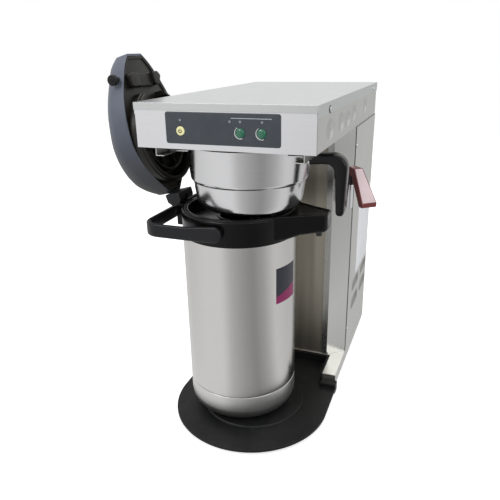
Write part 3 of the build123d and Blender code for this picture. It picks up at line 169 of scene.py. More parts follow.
def slab(outline, low, high, rim=0.4, place=upFrame, steps=3, lowRim=None):
    # A flat outline made thick: the wall turns in at both rims on quarter circles.
    outline = np.asarray(outline, float)
    turn = np.linspace(0, np.pi / 2, steps + 1)
    lowRim = rim if lowRim is None else lowRim
    rows = [(lowRim * (1 - np.sin(angle)), low + lowRim * (1 - np.cos(angle))) for angle in turn]
    rows += [(rim * (1 - np.sin(angle)), high - rim * (1 - np.cos(angle))) for angle in turn[::-1]]
    outlines = [np.column_stack([inset(outline, by), np.full(len(outline), level)]) for by, level in rows]
    return skin(outlines, place)


def disc(radius, low, high, rim, place, count=48, steps=3):
    return slab(circleOutline(radius, count), low, high, rim, place, steps)


def atStation(s, outline):
    # An outline of (b, h) as points of a frame, all at one station s along it.
    return np.column_stack([np.full(len(outline), s), outline])


def onFlank(x, y=0, z=0, side=1):
    # A frame on a wall that faces along X: y, z and outwards.
    return (x, y, z), (0, 1, 0), (0, 0, 1), (side, 0, 0)


def crosswise(x, z, side=1):
    # A frame for a round part whose axis runs from the middle plane to one side.
    return (x, 0, z), (1, 0, 0), (0, 0, side), (0, side, 0)


def joined(parts):
    points, faces, start = [], [], 0
    for some, around in parts:
        points.append(some.reshape(-1, 3))
        faces += [[start + i for i in face] for face in around]
        start += len(points[-1])
    return np.concatenate(points), faces


def newObject(name, data):
    made = bpy.data.objects.new(name, data)
    bpy.context.scene.collection.objects.link(made)
    return made


def meshOf(name, points, faces):
    mesh = bpy.data.meshes.new(name)
    mesh.from_pydata((points * mm).tolist(), [], faces)
    return mesh


def reworked(mesh, merge=0.0, thin=0.0, flats=0.0, outwards=False):
    # Doubles merged, slivers and flats dissolved and faces turned outwards, each where it is asked for.
    work = bmesh.new()
    work.from_mesh(mesh)
    if merge:
        bmesh.ops.remove_doubles(work, verts=work.verts, dist=merge)
    if thin:
        bmesh.ops.dissolve_degenerate(work, edges=work.edges, dist=thin)
    if flats:
        bmesh.ops.dissolve_limit(work, angle_limit=math.radians(flats), verts=work.verts, edges=work.edges)
    if outwards:
        bmesh.ops.recalc_face_normals(work, faces=work.faces)
    work.to_mesh(mesh)
    work.free()
    return mesh


def shade(piece, angle):
    mesh = piece.data
    mesh.polygons.foreach_set("use_smooth", np.ones(len(mesh.polygons), bool))
    mesh.set_sharp_from_angle(angle=math.radians(angle))


def finishPiece(piece, look, node, body, angle):
    piece.data.materials.clear()
    piece.data.materials.append(materials[look])
    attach(piece, body or bodyOf[node])
    if node:
        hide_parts(node)
    shade(piece, angle)
    return piece


def makePiece(name, parts, look, node=None, body=None, angle=32):
    # Parts are (points, faces) in millimetres in the machine's frame; node is the CAD piece they stand for.
    mesh = reworked(meshOf(name, *joined(parts)), merge=1e-6, thin=1e-6, outwards=True)
    return finishPiece(newObject(name, mesh), look, node, body, angle)


def softened(node, name, width, look, angle=30):
    # The CAD piece's copy with its doubles merged, its flats made whole and its edges rounded.
    mesh = nodes[node].data.copy()
    mesh.name = name
    piece = newObject(name, reworked(mesh, merge=2e-6, flats=0.5))
    finishPiece(piece, look, node, None, angle)
    bevel = piece.modifiers.new("softEdges", "BEVEL")
    bevel.width = width * mm
    bevel.segments = 2
    bevel.limit_method = "ANGLE"
    bevel.angle_limit = math.radians(angle)
    bevel.harden_normals = True
    bevel.miter_outer = "MITER_ARC"


def cutOut(piece, part):
    # The space of a closed shape taken out of a piece, and the shape thrown away.
    mesh = reworked(meshOf("cutter", *part), outwards=True)
    cutter = newObject("cutter", mesh)
    cut = piece.modifiers.new("cut", "BOOLEAN")
    cut.operation = "DIFFERENCE"
    cut.solver = "EXACT"
    cut.object = cutter
    bpy.context.view_layer.update()
    solid = bpy.data.meshes.new_from_object(piece.evaluated_get(bpy.context.evaluated_depsgraph_get()))
    piece.modifiers.clear()
    piece.data = solid
    bpy.data.objects.remove(cutter)
    bpy.data.meshes.remove(mesh)


def fill(tree, sockets, values):
    # Each socket takes another node's output or a plain value; a colour gets its full opacity.
    for key, value in values.items():
        socket = sockets[key]
        if isinstance(value, bpy.types.NodeSocket):
            tree.links.new(value, socket)
        else:
            socket.default_value = (*value, 1.0) if socket.type == "RGBA" else value


def newNode(tree, kind, values=None, **settings):
    node = tree.nodes.new("ShaderNode" + kind)
    for key, value in settings.items():
        setattr(node, key, value)
    fill(tree, node.inputs, values or {})
    return node


def newMaterial(name):
    material = bpy.data.materials.new(name)
    material.use_nodes = True
    tree = material.node_tree
    return material, tree, tree.nodes["Principled BSDF"]


def group(name, given, made):
    # A node group whose inputs are {name: a float, or the default of a vector} and whose outputs are floats.
    tree = bpy.data.node_groups.new(name, "ShaderNodeTree")
    for label, value in given.items():
        kind = "NodeSocketFloat" if isinstance(value, float) else "NodeSocketVector"
        socket = tree.interface.new_socket(name=label, in_out="INPUT", socket_type=kind)
        if value is not None:
            socket.default_value = value
    for label in made:
        tree.interface.new_socket(name=label, in_out="OUTPUT", socket_type="NodeSocketFloat")
    return tree, tree.nodes.new("NodeGroupInput").outputs, tree.nodes.new("NodeGroupOutput").inputs


def mathNode(tree, operation, *values, clamp=False):
    return newNode(tree, "Math", dict(enumerate(values)), operation=operation, use_clamp=clamp).outputs[0]


def vectorMath(tree, operation, *values):
    return newNode(tree, "VectorMath", dict(enumerate(values)), operation=operation).outputs


def noise(tree, vector, scale, detail=3.0):
    return newNode(tree, "TexNoise", {"Vector": vector, "Scale": scale, "Detail": detail}).outputs["Fac"]


def mixColour(tree, factor, a, b):
    return newNode(tree, "Mix", {0: factor, 6: a, 7: b}, data_type="RGBA").outputs[2]


def separated(tree, vector):
    return newNode(tree, "SeparateXYZ", {0: vector}).outputs


def objectVector(tree):
    coordinates = tree.nodes.get("Texture Coordinate") or newNode(tree, "TexCoord")
    return coordinates.outputs["Object"]


def brushedGroup():
    # Fine parallel scratches: noise stretched along one direction, and broad smudges from handling.
    tree, given, made = group(
        "brushedSteel", {"Vector": None, "Stretch": (20, 20, 2200), "Roughness": 0.28, "Scatter": 0.1},
        ("Roughness", "Height", "Streak"))
    scratch = noise(tree, vectorMath(tree, "MULTIPLY", given["Vector"], given["Stretch"])[0], 1.0, 4.0)
    smudge = noise(tree, given["Vector"], 22.0)
    both = mathNode(tree, "ADD", *(mathNode(tree, "SUBTRACT", mark, 0.5) for mark in (scratch, smudge)))
    rough = mathNode(tree, "MULTIPLY_ADD", both, given["Scatter"], given["Roughness"])
    fill(tree, made, {"Roughness": rough, "Height": scratch, "Streak": scratch})
    return tree


def grainGroup():
    # Moulded plastic: small pits over a soft unevenness, with duller and glossier patches.
    tree, given, made = group(
        "mouldedGrain", {"Vector": None, "Size": 900.0, "Roughness": 0.45, "Scatter": 0.12},
        ("Roughness", "Height", "Patch"))
    pits = newNode(tree, "TexVoronoi", {"Vector": given["Vector"], "Scale": given["Size"]})
    patch = noise(tree, given["Vector"], 30.0, 4.0)
    marks = mathNode(tree, "SUBTRACT", patch, 0.5)
    rough = mathNode(tree, "MULTIPLY_ADD", marks, given["Scatter"], given["Roughness"])
    fill(tree, made, {"Roughness": rough, "Height": pits.outputs["Distance"], "Patch": patch})
    return tree


def wearGroup():
    # How far the surface turns within a short reach, as a mask: 1 on worn edges, 0 on flats.
    tree, given, made = group("edgeWear", {"Reach": 0.0012, "Vector": None}, ("Mask",))
    turned = newNode(tree, "Bevel", {"Radius": given["Reach"]}, samples=3).outputs["Normal"]
    flat = newNode(tree, "NewGeometry").outputs["Normal"]
    turnedBy = mathNode(tree, "SUBTRACT", 1.0, vectorMath(tree, "DOT_PRODUCT", turned, flat)["Value"])
    broken = noise(tree, given["Vector"], 160.0, 2.0)
    mask = mathNode(tree, "MULTIPLY", mathNode(tree, "MULTIPLY", turnedBy, 5.0), broken, clamp=True)
    fill(tree, made, {"Mask": mask})
    return tree


def dustGroup():
    # Dust and water marks: a mask that is stronger on faces that look up, broken by noise.
    tree, given, made = group("settledDust", {"Vector": None, "Amount": 0.3}, ("Mask",))
    facing = separated(tree, newNode(tree, "NewGeometry").outputs["Normal"])["Z"]
    up = mathNode(tree, "MULTIPLY_ADD", facing, 0.6, 0.4, clamp=True)
    spots = mathNode(tree, "MULTIPLY_ADD", noise(tree, given["Vector"], 90.0, 5.0), 2.4, -0.9, clamp=True)
    mask = mathNode(tree, "MULTIPLY", mathNode(tree, "MULTIPLY", up, spots), given["Amount"], clamp=True)
    fill(tree, made, {"Mask": mask})
    return tree


groups = {"brushed": brushedGroup(), "grain": grainGroup(), "wear": wearGroup(), "dust": dustGroup()}


def placeGroup(tree, key, **values):
    return newNode(tree, "Group", {**values, "Vector": objectVector(tree)}, node_tree=groups[key]).outputs


def nearMask(tree, axis, centre, half):
    # 1 where the object's own coordinate lies within half of the centre, both in millimetres.
    along = separated(tree, objectVector(tree))[axis]
    off = mathNode(tree, "ABSOLUTE", mathNode(tree, "SUBTRACT", along, centre * mm))
    return mathNode(tree, "LESS_THAN", off, half * mm)


# depths and reach in metres, colours of dust and of the painted shade in gaps at joints,
# and the share that draws a dent out along y
finish = {"reliefDeep": 0.0002, "dentDeep": 0.0075, "dentLength": 0.62, "wearReach": 0.0012,
          "pressedShade": 0.30, "steelDust": (0.45, 0.44, 0.42), "plasticDust": (0.35, 0.34, 0.32),
          "gapShade": (0.03, 0.03, 0.03)}


def dentHeight(tree, spots):
    # Sum over soft hollows at (y, z, radius), each the smoothstep of the distance over the radius.
    total = 0.0
    for y, z, radius in spots:
        apart = vectorMath(tree, "SUBTRACT", objectVector(tree), (0, y * mm, z * mm))[0]
        shares = (0, finish["dentLength"] / (radius * mm), 1 / (radius * mm))
        far = vectorMath(tree, "LENGTH", vectorMath(tree, "MULTIPLY", apart, shares)[0])["Value"]
        soft = newNode(tree, "MapRange", {"Value": far}, interpolation_type="SMOOTHSTEP")
        total = mathNode(tree, "ADD", soft.outputs[0], total)
    return total


def shaded(colour, share):
    return tuple(c * share for c in colour)


def relief(tree, height, strength):
    return newNode(tree, "Bump", {"Strength": strength, "Distance": finish["reliefDeep"],
                                  "Height": height}).outputs["Normal"]


def steel(name, colour, stretch, roughness=0.28, scatter=0.12, bump=0.06, dull=0.9, reflectionBands=None, seams=(),
          dents=(), pressShade=None):
    # Sheet steel with its grain along the small numbers of stretch; the darker streaks (a colour and its
    # measure) are painted reflections, seams are (axis, centre, half) of gaps drawn in painted shade, dents are
    # (y, z, radius), and the named attribute darkens the steel with painted shade in pressed hollows and open
    # gaps.
    material, tree, bsdf = newMaterial(name)
    grain = placeGroup(tree, "brushed", Stretch=stretch, Roughness=roughness, Scatter=scatter)
    dust = placeGroup(tree, "dust", Amount=0.12)["Mask"]
    base = mixColour(tree, grain["Streak"], shaded(colour, dull), colour)
    # Painted reflections: darker streaks stretched by the given measure.
    if reflectionBands:
        reflectionColour, scale = reflectionBands
        stretched = newNode(tree, "Mapping", {"Vector": objectVector(tree), "Scale": scale}).outputs[0]
        mask = mathNode(tree, "MULTIPLY_ADD", noise(tree, stretched, 1.0, 2.0), 3.0, -1.1, clamp=True)
        base = mixColour(tree, mask, base, reflectionColour)
    # Painted shade: a dark line along each gap between sheets.
    for axis, centre, half in seams:
        base = mixColour(tree, nearMask(tree, axis, centre, half), base, finish["gapShade"])
    # Painted shade in the pressed hollows and along the open gaps, read from the mesh's attribute.
    if pressShade:
        depth = newNode(tree, "Attribute", attribute_name=pressShade).outputs["Fac"]
        base = mixColour(tree, depth, base, shaded(colour, finish["pressedShade"]))
    normal = relief(tree, grain["Height"], bump)
    if dents:
        normal = newNode(tree, "Bump", {"Distance": finish["dentDeep"], "Height": dentHeight(tree, dents),
                                        "Normal": normal}).outputs["Normal"]
    fill(tree, bsdf.inputs, {"Metallic": 1.0, "Base Color": mixColour(tree, dust, base, finish["steelDust"]),
                             "Roughness": grain["Roughness"], "Normal": normal})
    return material


def plastic(name, colour, roughness=0.45, scatter=0.15, size=1100.0, bump=0.12, worn=None, coat=0.0,
            specular=0.5, dusty=0.06, low=None):
    # Moulded plastic; worn is the colour of its rubbed edges, low the darker colour of painted shade that it
    # takes on towards its foot, with the two heights in millimetres that the change lies between.
    material, tree, bsdf = newMaterial(name)
    grain = placeGroup(tree, "grain", Size=size, Roughness=roughness, Scatter=scatter)
    edge = placeGroup(tree, "wear", Reach=finish["wearReach"])["Mask"]
    dust = placeGroup(tree, "dust", Amount=dusty)["Mask"]
    worn = worn or tuple(min(1.0, c * 1.6 + 0.012) for c in colour)
    base = mixColour(tree, grain["Patch"], shaded(colour, 0.86), shaded(colour, 1.1))
    # Painted shade: towards the foot the colour turns to the low one, by the object's own height.
    if low:
        height = separated(tree, objectVector(tree))["Z"]
        rise = newNode(tree, "MapRange", {"Value": height, "From Min": low[1] * mm, "From Max": low[2] * mm},
                       interpolation_type="SMOOTHSTEP")
        base = mixColour(tree, rise.outputs["Result"], low[0], base)
    base = mixColour(tree, dust, base, finish["plasticDust"])
    fill(tree, bsdf.inputs, {"Base Color": mixColour(tree, edge, base, worn), "Roughness": grain["Roughness"],
                             "Normal": relief(tree, grain["Height"], bump), "Coat Weight": coat,
                             "Specular IOR Level": specular})
    return material


sideDents = ((-22, 434, 15), (41, 435, 15), (84, 434, 13), (128, 437, 13), (224, 438, 12))
alongX, alongY, upright = (14, 1900, 1900), (1900, 14, 1900), (1500, 1500, 10)      # directions of the grain
satin = {"scatter": 0.06, "bump": 0.012, "dull": 0.94}
printed = {"size": 1600.0, "bump": 0.03, "specular": 0.2, "dusty": 0.02}
materials = {
    "head": steel("brushedHead", (0.72, 0.72, 0.74), alongX, 0.36),
    "cover": steel("brushedCover", (0.60, 0.61, 0.61), alongY, 0.36),
    "side": steel("brushedSide", (0.60, 0.60, 0.575), alongY, 0.32),
    # the head's sides, with painted shade along the gap at their front edge
    "headSide": steel("brushedHeadSide", (0.55, 0.55, 0.535), alongY, 0.30, seams=(("Y", -88.9, 0.7),),
                      dents=sideDents),
    # the side panels carry painted shade in the vents' hollows and along their open gaps
    "panelSide": steel("pressedSide", (0.60, 0.60, 0.575), alongY, 0.32, pressShade="pressShade"),
    # the splash panel's darker upright streaks are painted reflections
    "splash": steel("polishedSplash", (0.56, 0.525, 0.445), upright, 0.42, scatter=0.06,
                    reflectionBands=((0.38, 0.35, 0.30), (60, 60, 1.5))),
    "post": steel("brushedPost", (0.57, 0.57, 0.55), upright, 0.26),
    "pot": steel("satinPot", (0.61, 0.60, 0.585), (900, 900, 5), 0.22, **satin),
    # the cup's steel is set lighter than the tube's, as painted light against the shade at the airpot's foot
    "cup": steel("satinCup", (0.64, 0.635, 0.625), (900, 900, 5), 0.33, **satin),
    "cone": steel("spunCone", (0.68, 0.68, 0.69), (10, 10, 1500), 0.20),
    "inner": steel("tankSteel", (0.56, 0.56, 0.56), (40, 40, 300), 0.35),
    "bright": steel("brightMetal", (0.70, 0.70, 0.71), (200, 200, 200), 0.16, bump=0.02),
    "element": steel("heatedRod", (0.40, 0.36, 0.33), (60, 60, 60), 0.42, dull=0.7),
    "brass": steel("inletBrass", (0.62, 0.46, 0.22), (500, 30, 500)),
    "black": plastic("blackMoulding", (0.005, 0.005, 0.005), 0.40, specular=0.22, dusty=0.015),
    "plate": plastic("plateBlack", (0.0060, 0.0065, 0.0065), 0.5, size=700.0, bump=0.2, specular=0.20,
                     dusty=0.012),
    "collar": plastic("collarBlack", (0.003, 0.0029, 0.0028), 0.22, specular=0.17, dusty=0.006),
    "bail": plastic("bailGraphite", (0.007, 0.0074, 0.009), 0.34, specular=0.24, dusty=0.008),
    "grip": plastic("gripBlack", (0.003, 0.003, 0.0033), 0.20, specular=0.22, dusty=0.006),
    # the lid's slate is painted darker towards its foot, as shade
    "lid": plastic("lidSlate", (0.100, 0.113, 0.147), 0.44, size=1400.0, specular=0.28, dusty=0.03,
                   low=((0.010, 0.0105, 0.011), 322, 470)),
    "lidInside": plastic("lidInside", (0.0085, 0.0078, 0.0062), 0.36, specular=0.26, dusty=0.012),
    "hinge": plastic("hingeGrey", (0.012, 0.0125, 0.014), 0.5, specular=0.3, dusty=0.02),
    "panel": plastic("panelSlate", (0.038, 0.046, 0.057), 0.42, size=2200.0, bump=0.05, specular=0.35),
    "powerKey": plastic("powerKey", (0.74, 0.70, 0.36), 0.35, size=1600.0),
    "symbol": plastic("symbolInk", (0.016, 0.015, 0.010), 0.5),
    "brewKey": plastic("brewKey", (0.004, 0.105, 0.055), 0.14, size=1600.0, bump=0.02, coat=0.5),
    "lamp": plastic("lampLens", (0.17, 0.19, 0.22), 0.2, bump=0.02),
    "trim": plastic("trimGrey", (0.30, 0.32, 0.36), 0.5),
    "board": plastic("boardGreen", (0.02, 0.12, 0.05), 0.4),
    "silicone": plastic("milkySilicone", (0.62, 0.62, 0.60), 0.5),
    "rubber": plastic("footRubber", (0.008, 0.008, 0.008), 0.7, size=600.0, specular=0.3),
    "valve": plastic("valveWhite", (0.62, 0.62, 0.60), 0.4),
    "siphon": plastic("siphonBlack", (0.008, 0.008, 0.008), 0.35),
    "red": plastic("leverRed", (0.14, 0.010, 0.012), 0.36, worn=(0.26, 0.04, 0.04)),
    "leverFace": plastic("leverFace", (0.66, 0.53, 0.55), size=1500.0),
    "faucetBlack": plastic("faucetBlack", (0.006, 0.006, 0.006), 0.3),
    "plain": plastic("plainPlate", (0.72, 0.73, 0.76), 0.4, size=1600.0, bump=0.04),
    "sticker": plastic("stickerSlate", (0.022, 0.022, 0.034), 0.35, **printed),
    "stickerFoot": plastic("stickerPlum", (0.20, 0.010, 0.080), 0.35, **printed),
}

# CAD pieces that stay as they are
plainNodes = {
    "side": ("rear_panel", "head_floor"), "splash": ("splash_panel",), "siphon": ("siphon_tube",),
    "bright": ("casing_screws", "faucet_shank", "faucet_spout", "wire_basket", "hinge_pin", "bail_pivots"),
    "inner": ("spray_head", "water_tank", "tank_lid", "tank_probes", "vacuum_liner"),
    "black": ("button_switches", "cord_gland", "power_relay", "airpot_base_ring"),
    "rubber": ("rear_feet", "pump_bellows"), "brass": ("inlet_fitting",),
    "silicone": ("spray_tube", "tank_gasket", "inlet_hose"), "valve": ("brew_valve", "inlet_valve"),
    "element": ("heating_element",), "lamp": ("indicator_lights",), "board": ("control_board",),
}
for look, held in plainNodes.items():
    for name in held:
        nodes[name].data.materials.clear()
        nodes[name].data.materials.append(materials[look])
print("materials made:", len(materials))

airpot = {"x": -17.0, "radius": 80.0, "wall": 1.0, "bottom": 13.8, "seam": 58.0, "top": 287.5,
          "footRound": 22.0, "seamGap": 0.7, "lip": 0.8, "hole": 22.2}


def makeAirpotSteel(x, radius, wall, bottom, seam, top, footRound, seamGap, lip, hole):
    # Tube and cup are turned outlines; both edges at the seam curl in, which leaves the thin dark line.
    inner, floor = radius - wall, bottom + wall
    tube = rounded([(inner, seam + seamGap), (radius, seam + seamGap, lip), (radius, top), (inner, top)])
    makePiece("potTube", [lathe(tube, (x, 0), 256)], "pot", "airpot_body")
    cup = rounded([(hole, bottom), (radius, bottom, footRound), (radius, seam, lip), (inner, seam),
                   (inner, floor, footRound - wall), (hole, floor)], 14)
    makePiece("potCup", [lathe(cup, (x, 0), 256)], "cup", "airpot_bottom_cup")


# left and right in degrees round the airpot; foot and slant are shares of the height
sticker = {"left": -31.5, "right": -1.0, "low": 199.0, "high": 251.0, "gap": 0.02, "proud": 0.12,
           "foot": 0.30, "slant": 0.22}


def makeSticker(left, right, low, high, gap, proud, foot, slant):
    # A plain two-colour sticker: patches of the tube's wall, a hair outside it.
    across, up = np.meshgrid(np.linspace(0, 1, 40), np.linspace(0, 1, 20))
    angle = np.radians(left + (right - left) * across)
    change = foot + slant * (across - 0.5)      # where the colours meet
    for name, look, start, end in (("stickerField", "sticker", change, 1.0),
                                   ("stickerFoot", "stickerFoot", 0.0, change)):
        height = low + (high - low) * (start + (end - start) * up)
        back, front = (np.stack([airpot["x"] + reach * np.cos(angle), reach * np.sin(angle), height], -1)
                       for reach in (airpot["radius"] + gap, airpot["radius"] + proud))
        skin = carried(np.concatenate([back, front[:, ::-1]], 1))
        makePiece(name, [skin], look, body="airpot")


makeAirpotSteel(**airpot)
makeSticker(**sticker)
print("airpot steel made")

# rim is (inwards from the airpot's radius, down from the top, corner), mouthLip is (outwards, up, corner)
collar = {"top": 323.5, "deck": 307.5, "deckThick": 3.0, "wall": 5.0, "fit": 0.2, "spigot": 12.0, "gap": 0.05,
          "rim": ((0, 3.2, 1.2), (1.0, 2.0), (1.2, 0, 1.6), (4.4, 0, 0.6), (4.7, 1.6, 0.4), (6.0, 1.6, 0.4),
                  (6.3, 0.3, 0.5), (9.0, 0.3, 1.6)),
          "well": 10.0, "mouth": 26.5, "mouthDeep": 22.0, "skirt": 28.9,
          "mouthLip": ((4.5, 0, 0.6), (3.5, 1.6, 0.5), (0, 1.6, 1.0)),
          "bossRadius": 8.0, "bossZ": 306.5, "bossIn": 5.0, "bossEnd": 83.7}

# x from the airpot's axis: half the width and the underside along the beak, its low rim and the tip's edge
beak = {"root": 62.0, "reach": 128.0, "tipRun": 6.0,
        "halfAt": (60, 66, 102, 128), "half": (48.5, 45.0, 25.0, 13.0),
        "lowAt": (62, 80, 96, 128), "low": (289.0, 291.5, 296.5, 299.5), "corner": 5.0, "drawnRun": 4.0,
        "drawnIn": 3.0, "drawnUp": 2.5, "rim": 2.4, "rimFoot": 2.8, "rimDeep": 1.4, "edgeHalf": 10.6,
        "edgeDeep": 5.0, "edgeBack": 2.6, "edgeThick": 2.4}

# the spine up the back, the bridge from it to the rim and the round knuckle
spine = {"half": 5.0, "back": -114.0, "front": -94.0, "low": 286.2, "high": 322.5, "corner": 1.2,
         "bridgeBack": -111.0, "bridgeFront": -92.0, "bridgeLow": 318.0, "bridgeHigh": 323.3, "knuckle": 5.0}


def collarRing(top, deck, deckThick, wall, fit, spigot, gap, rim, well, mouth, mouthDeep, skirt, mouthLip,
               bossRadius, bossZ, bossIn, bossEnd):
    # One turned outline, from the foot of the wall over the rim and down into the mouth, with two bosses.
    radius, foot = airpot["radius"], airpot["top"]
    tongue = radius - airpot["wall"] - fit
    profile = [(radius, foot + gap, 0.5)]
    profile += [(radius - inwards, top - down, *corner) for inwards, down, *corner in rim]
    profile.append((radius - well, deck, 1.5))
    profile += [(mouth + outwards, deck + up, corner) for outwards, up, corner in mouthLip]
    profile += [(mouth, deck - mouthDeep), (skirt, deck - mouthDeep), (skirt, deck - deckThick),
                (radius - wall, deck - deckThick), (radius - wall, foot - spigot), (tongue, foot - spigot),
                (tongue, foot)]
    bosses = [disc(bossRadius, radius - bossIn, bossEnd, 0.6, crosswise(airpot["x"], bossZ, side))
              for side in (-1, 1)]
    return [lathe(rounded(profile, 4), (airpot["x"], 0), 256)] + bosses


def beakParts(root, reach, tipRun, halfAt, half, lowAt, low, corner, drawnRun, drawnIn, drawnUp, rim, rimFoot,
              rimDeep, edgeHalf, edgeDeep, edgeBack, edgeThick):
    # Outlines across the beak, from inside the wall out to the tip, where they draw in; the top has a rim.
    top = collar["top"]
    tip = reach - tipRun * (1 - np.sin(np.linspace(0.1, np.pi / 2, 8)))
    along = np.concatenate([np.linspace(root, reach - tipRun, 40), tip])
    drawn = np.clip((along - (reach - drawnRun)) / drawnRun, 0, 1) ** 2.2
    halves = np.interp(along, halfAt, half) - drawnIn * drawn
    lows = np.interp(along, lowAt, low) + drawnUp * drawn
    rows = []
    for x, y, z in zip(along, halves, lows):
        soft = min(corner, y * 0.3)
        shape = rounded([(-y, z, soft), (y, z, soft), (y, top, 1.2), (y - rim, top, 0.6),
                         (y - rimFoot, top - rimDeep, 0.4), (rimFoot - y, top - rimDeep, 0.4),
                         (rim - y, top, 0.6), (-y, top, 1.2)], 4)
        rows.append(atStation(airpot["x"] + x, shape))
    edge = slab(oblong(-edgeHalf, top - edgeDeep, edgeHalf, top, 1), 0, edgeThick, 0.5,
                onFlank(airpot["x"] + reach - edgeBack))
    return [skin(rows), edge]


def spineParts(half, back, front, low, high, corner, bridgeBack, bridgeFront, bridgeLow, bridgeHigh, knuckle):
    return [slab(oblong(back, -half, front, half, (corner, 0, 0, corner)), low, high, 0.8),
            slab(oblong(bridgeBack, -half, bridgeFront, half), bridgeLow, bridgeHigh, 0.6),
            disc(knuckle, -half, half, 0.6, crosswise(bridgeBack, high))]


ring, *bosses = collarRing(**collar)
makePiece("potCollar", [ring, *beakParts(**beak), *spineParts(**spine), *bosses], "collar", "airpot_collar",
          angle=28)

bail = {"half": 90.0, "strap": 6.0, "bar": 7.0, "corner": 25.0, "outer": -124.0, "pivot": 306.5, "low": 295.5,
        "high": 313.5, "armHalf": 10.5, "swell": 50.0, "soft": 2.2, "hole": 4.05, "holeStart": 83.0,
        "holeEnd": 88.05}


def makeBail(half, strap, bar, corner, outer, pivot, low, high, armHalf, swell, soft, hole, holeStart,
             holeEnd):
    # A rounded strap section carried along the plan of the bail; its height swells towards the pivots.
    middle, bend, barAt, end = half - strap / 2, corner - strap / 2, outer + bar / 2, airpot["x"] + armHalf
    line = rounded([(end, -middle), (barAt, -middle, bend), (barAt, middle, bend), (end, middle)], 24)
    plan = spaced(line, 160)
    near = armHalf * (1 - np.cos(np.linspace(0.06, np.pi / 2, 14)))      # the round pivot ends, closer steps
    side = np.column_stack([end - near, np.full(14, -middle)])
    path = np.concatenate([side, plan[plan[:, 0] < end - armHalf], side[::-1] * (1, -1)])
    ahead = unit(np.gradient(path, axis=0))
    out = np.column_stack([ahead[:, 1], -ahead[:, 0]])
    fromEnd = np.clip((airpot["x"] - path[:, 0]) / swell, 0, 1)
    blend = fromEnd ** 2 * (3 - 2 * fromEnd)
    beyond = np.clip((path[:, 0] - airpot["x"]) / armHalf, 0, 1)
    shrink = np.sqrt(np.maximum(1 - beyond ** 2, 0.0025))
    tops, lows = (pivot + (arm * (1 - blend) + strapEdge * blend - pivot) * shrink
                  for arm, strapEdge in ((pivot + armHalf, high), (pivot - armHalf, low)))
    rows = []
    for place, away, top, bottom in zip(path, out, tops, lows):
        shape = oblong(-strap / 2, bottom, strap / 2, top, min(soft, (top - bottom) * 0.45), 4)
        rows.append(np.column_stack([place + away * shape[:, :1], shape[:, 1]]))
    piece = makePiece("carryingBail", [skin(rows)], "bail", "airpot_bail", angle=40)
    for side in (-1, 1):
        cutOut(piece, disc(hole, holeStart, holeEnd, 0.0, crosswise(airpot["x"], pivot, side)))
    shade(piece, 40)


makeBail(**bail)
print("collar and bail made")

# stations s run from the hinge to the nose, with half the width and the depth of the shell at each
lid = {"tilt": 105.0, "originX": -112.0, "originZ": 322.0, "wall": 2.2, "start": 14.0, "end": 208.0,
       "s": (14, 22, 33, 47, 64, 90, 118, 150, 178, 198, 208),
       "half": (13, 22, 34, 47, 59, 69, 67.5, 58.5, 43, 28, 17),
       "depth": (28, 42, 53.5, 59, 60.5, 58.5, 54, 47, 39, 33, 26),
       "creaseAt": (14, 60, 110, 150, 178, 208), "creaseShare": (0.34, 0.38, 0.42, 0.45, 0.48, 0.52),
       "windowStart": 42.5, "windowEnd": 181.5, "windowHalf": 28.5, "windowFrom": 22.0, "bore": 3.6,
       "boreFrom": 30.0, "boreTo": 60.0, "axleS": 177.5, "axleD": 9.0, "ridge": 0.6}

# from hinge to nose, and out to the crown; lidFrame is the origin, along, across the machine and out
tilt = math.radians(lid["tilt"])
lidAlong, lidOut = (math.cos(tilt), 0, math.sin(tilt)), (-math.sin(tilt), 0, math.cos(tilt))
lidFrame = ((lid["originX"], 0, lid["originZ"]), lidAlong, (0, 1, 0), lidOut)


def lidSideways(s, d, side=1):
    # A frame at a station and depth of the lid: along it, out to the crown, and outwards to one side.
    return placed((s, 0, d), lidFrame), lidAlong, lidOut, (0, side, 0)


def lidDownwards(s=0, y=0):
    # A frame on the rim's plane that looks out of the open lid.
    return placed((s, -y, 0), lidFrame), lidAlong, (0, -1, 0), tuple(-v for v in lidOut)


def lidSection(s, by, crownSteps=17):
    # Half a section from the rim to the crown, as shares of its half-width and depth: a wall that leans in
    # a little up to the crease, then a cubic curve over to the flat crown; mirrored, and drawn in all round.
    half, depth = through(s, lid["s"], lid["half"]) - by, through(s, lid["s"], lid["depth"]) - by
    crease = float(np.interp(s, lid["creaseAt"], lid["creaseShare"]))
    t = np.linspace(0, 1, 9)[:-1]
    wall = np.column_stack([1 - 0.045 * t ** 1.5, crease * t])
    u = np.linspace(0, 1, crownSteps)[:, None]
    knots = np.array([(0.955, crease), (0.86, crease + 0.30 * (1 - crease) + 0.12), (0.60, 1.0), (0.0, 1.0)])
    weights = ((1 - u) ** 3, 3 * (1 - u) ** 2 * u, 3 * (1 - u) * u ** 2, u ** 3)
    shares = np.concatenate([wall, sum(weight * knot for weight, knot in zip(weights, knots))])
    return np.concatenate([shares * (-half, depth), (shares * (half, depth))[-2::-1]])


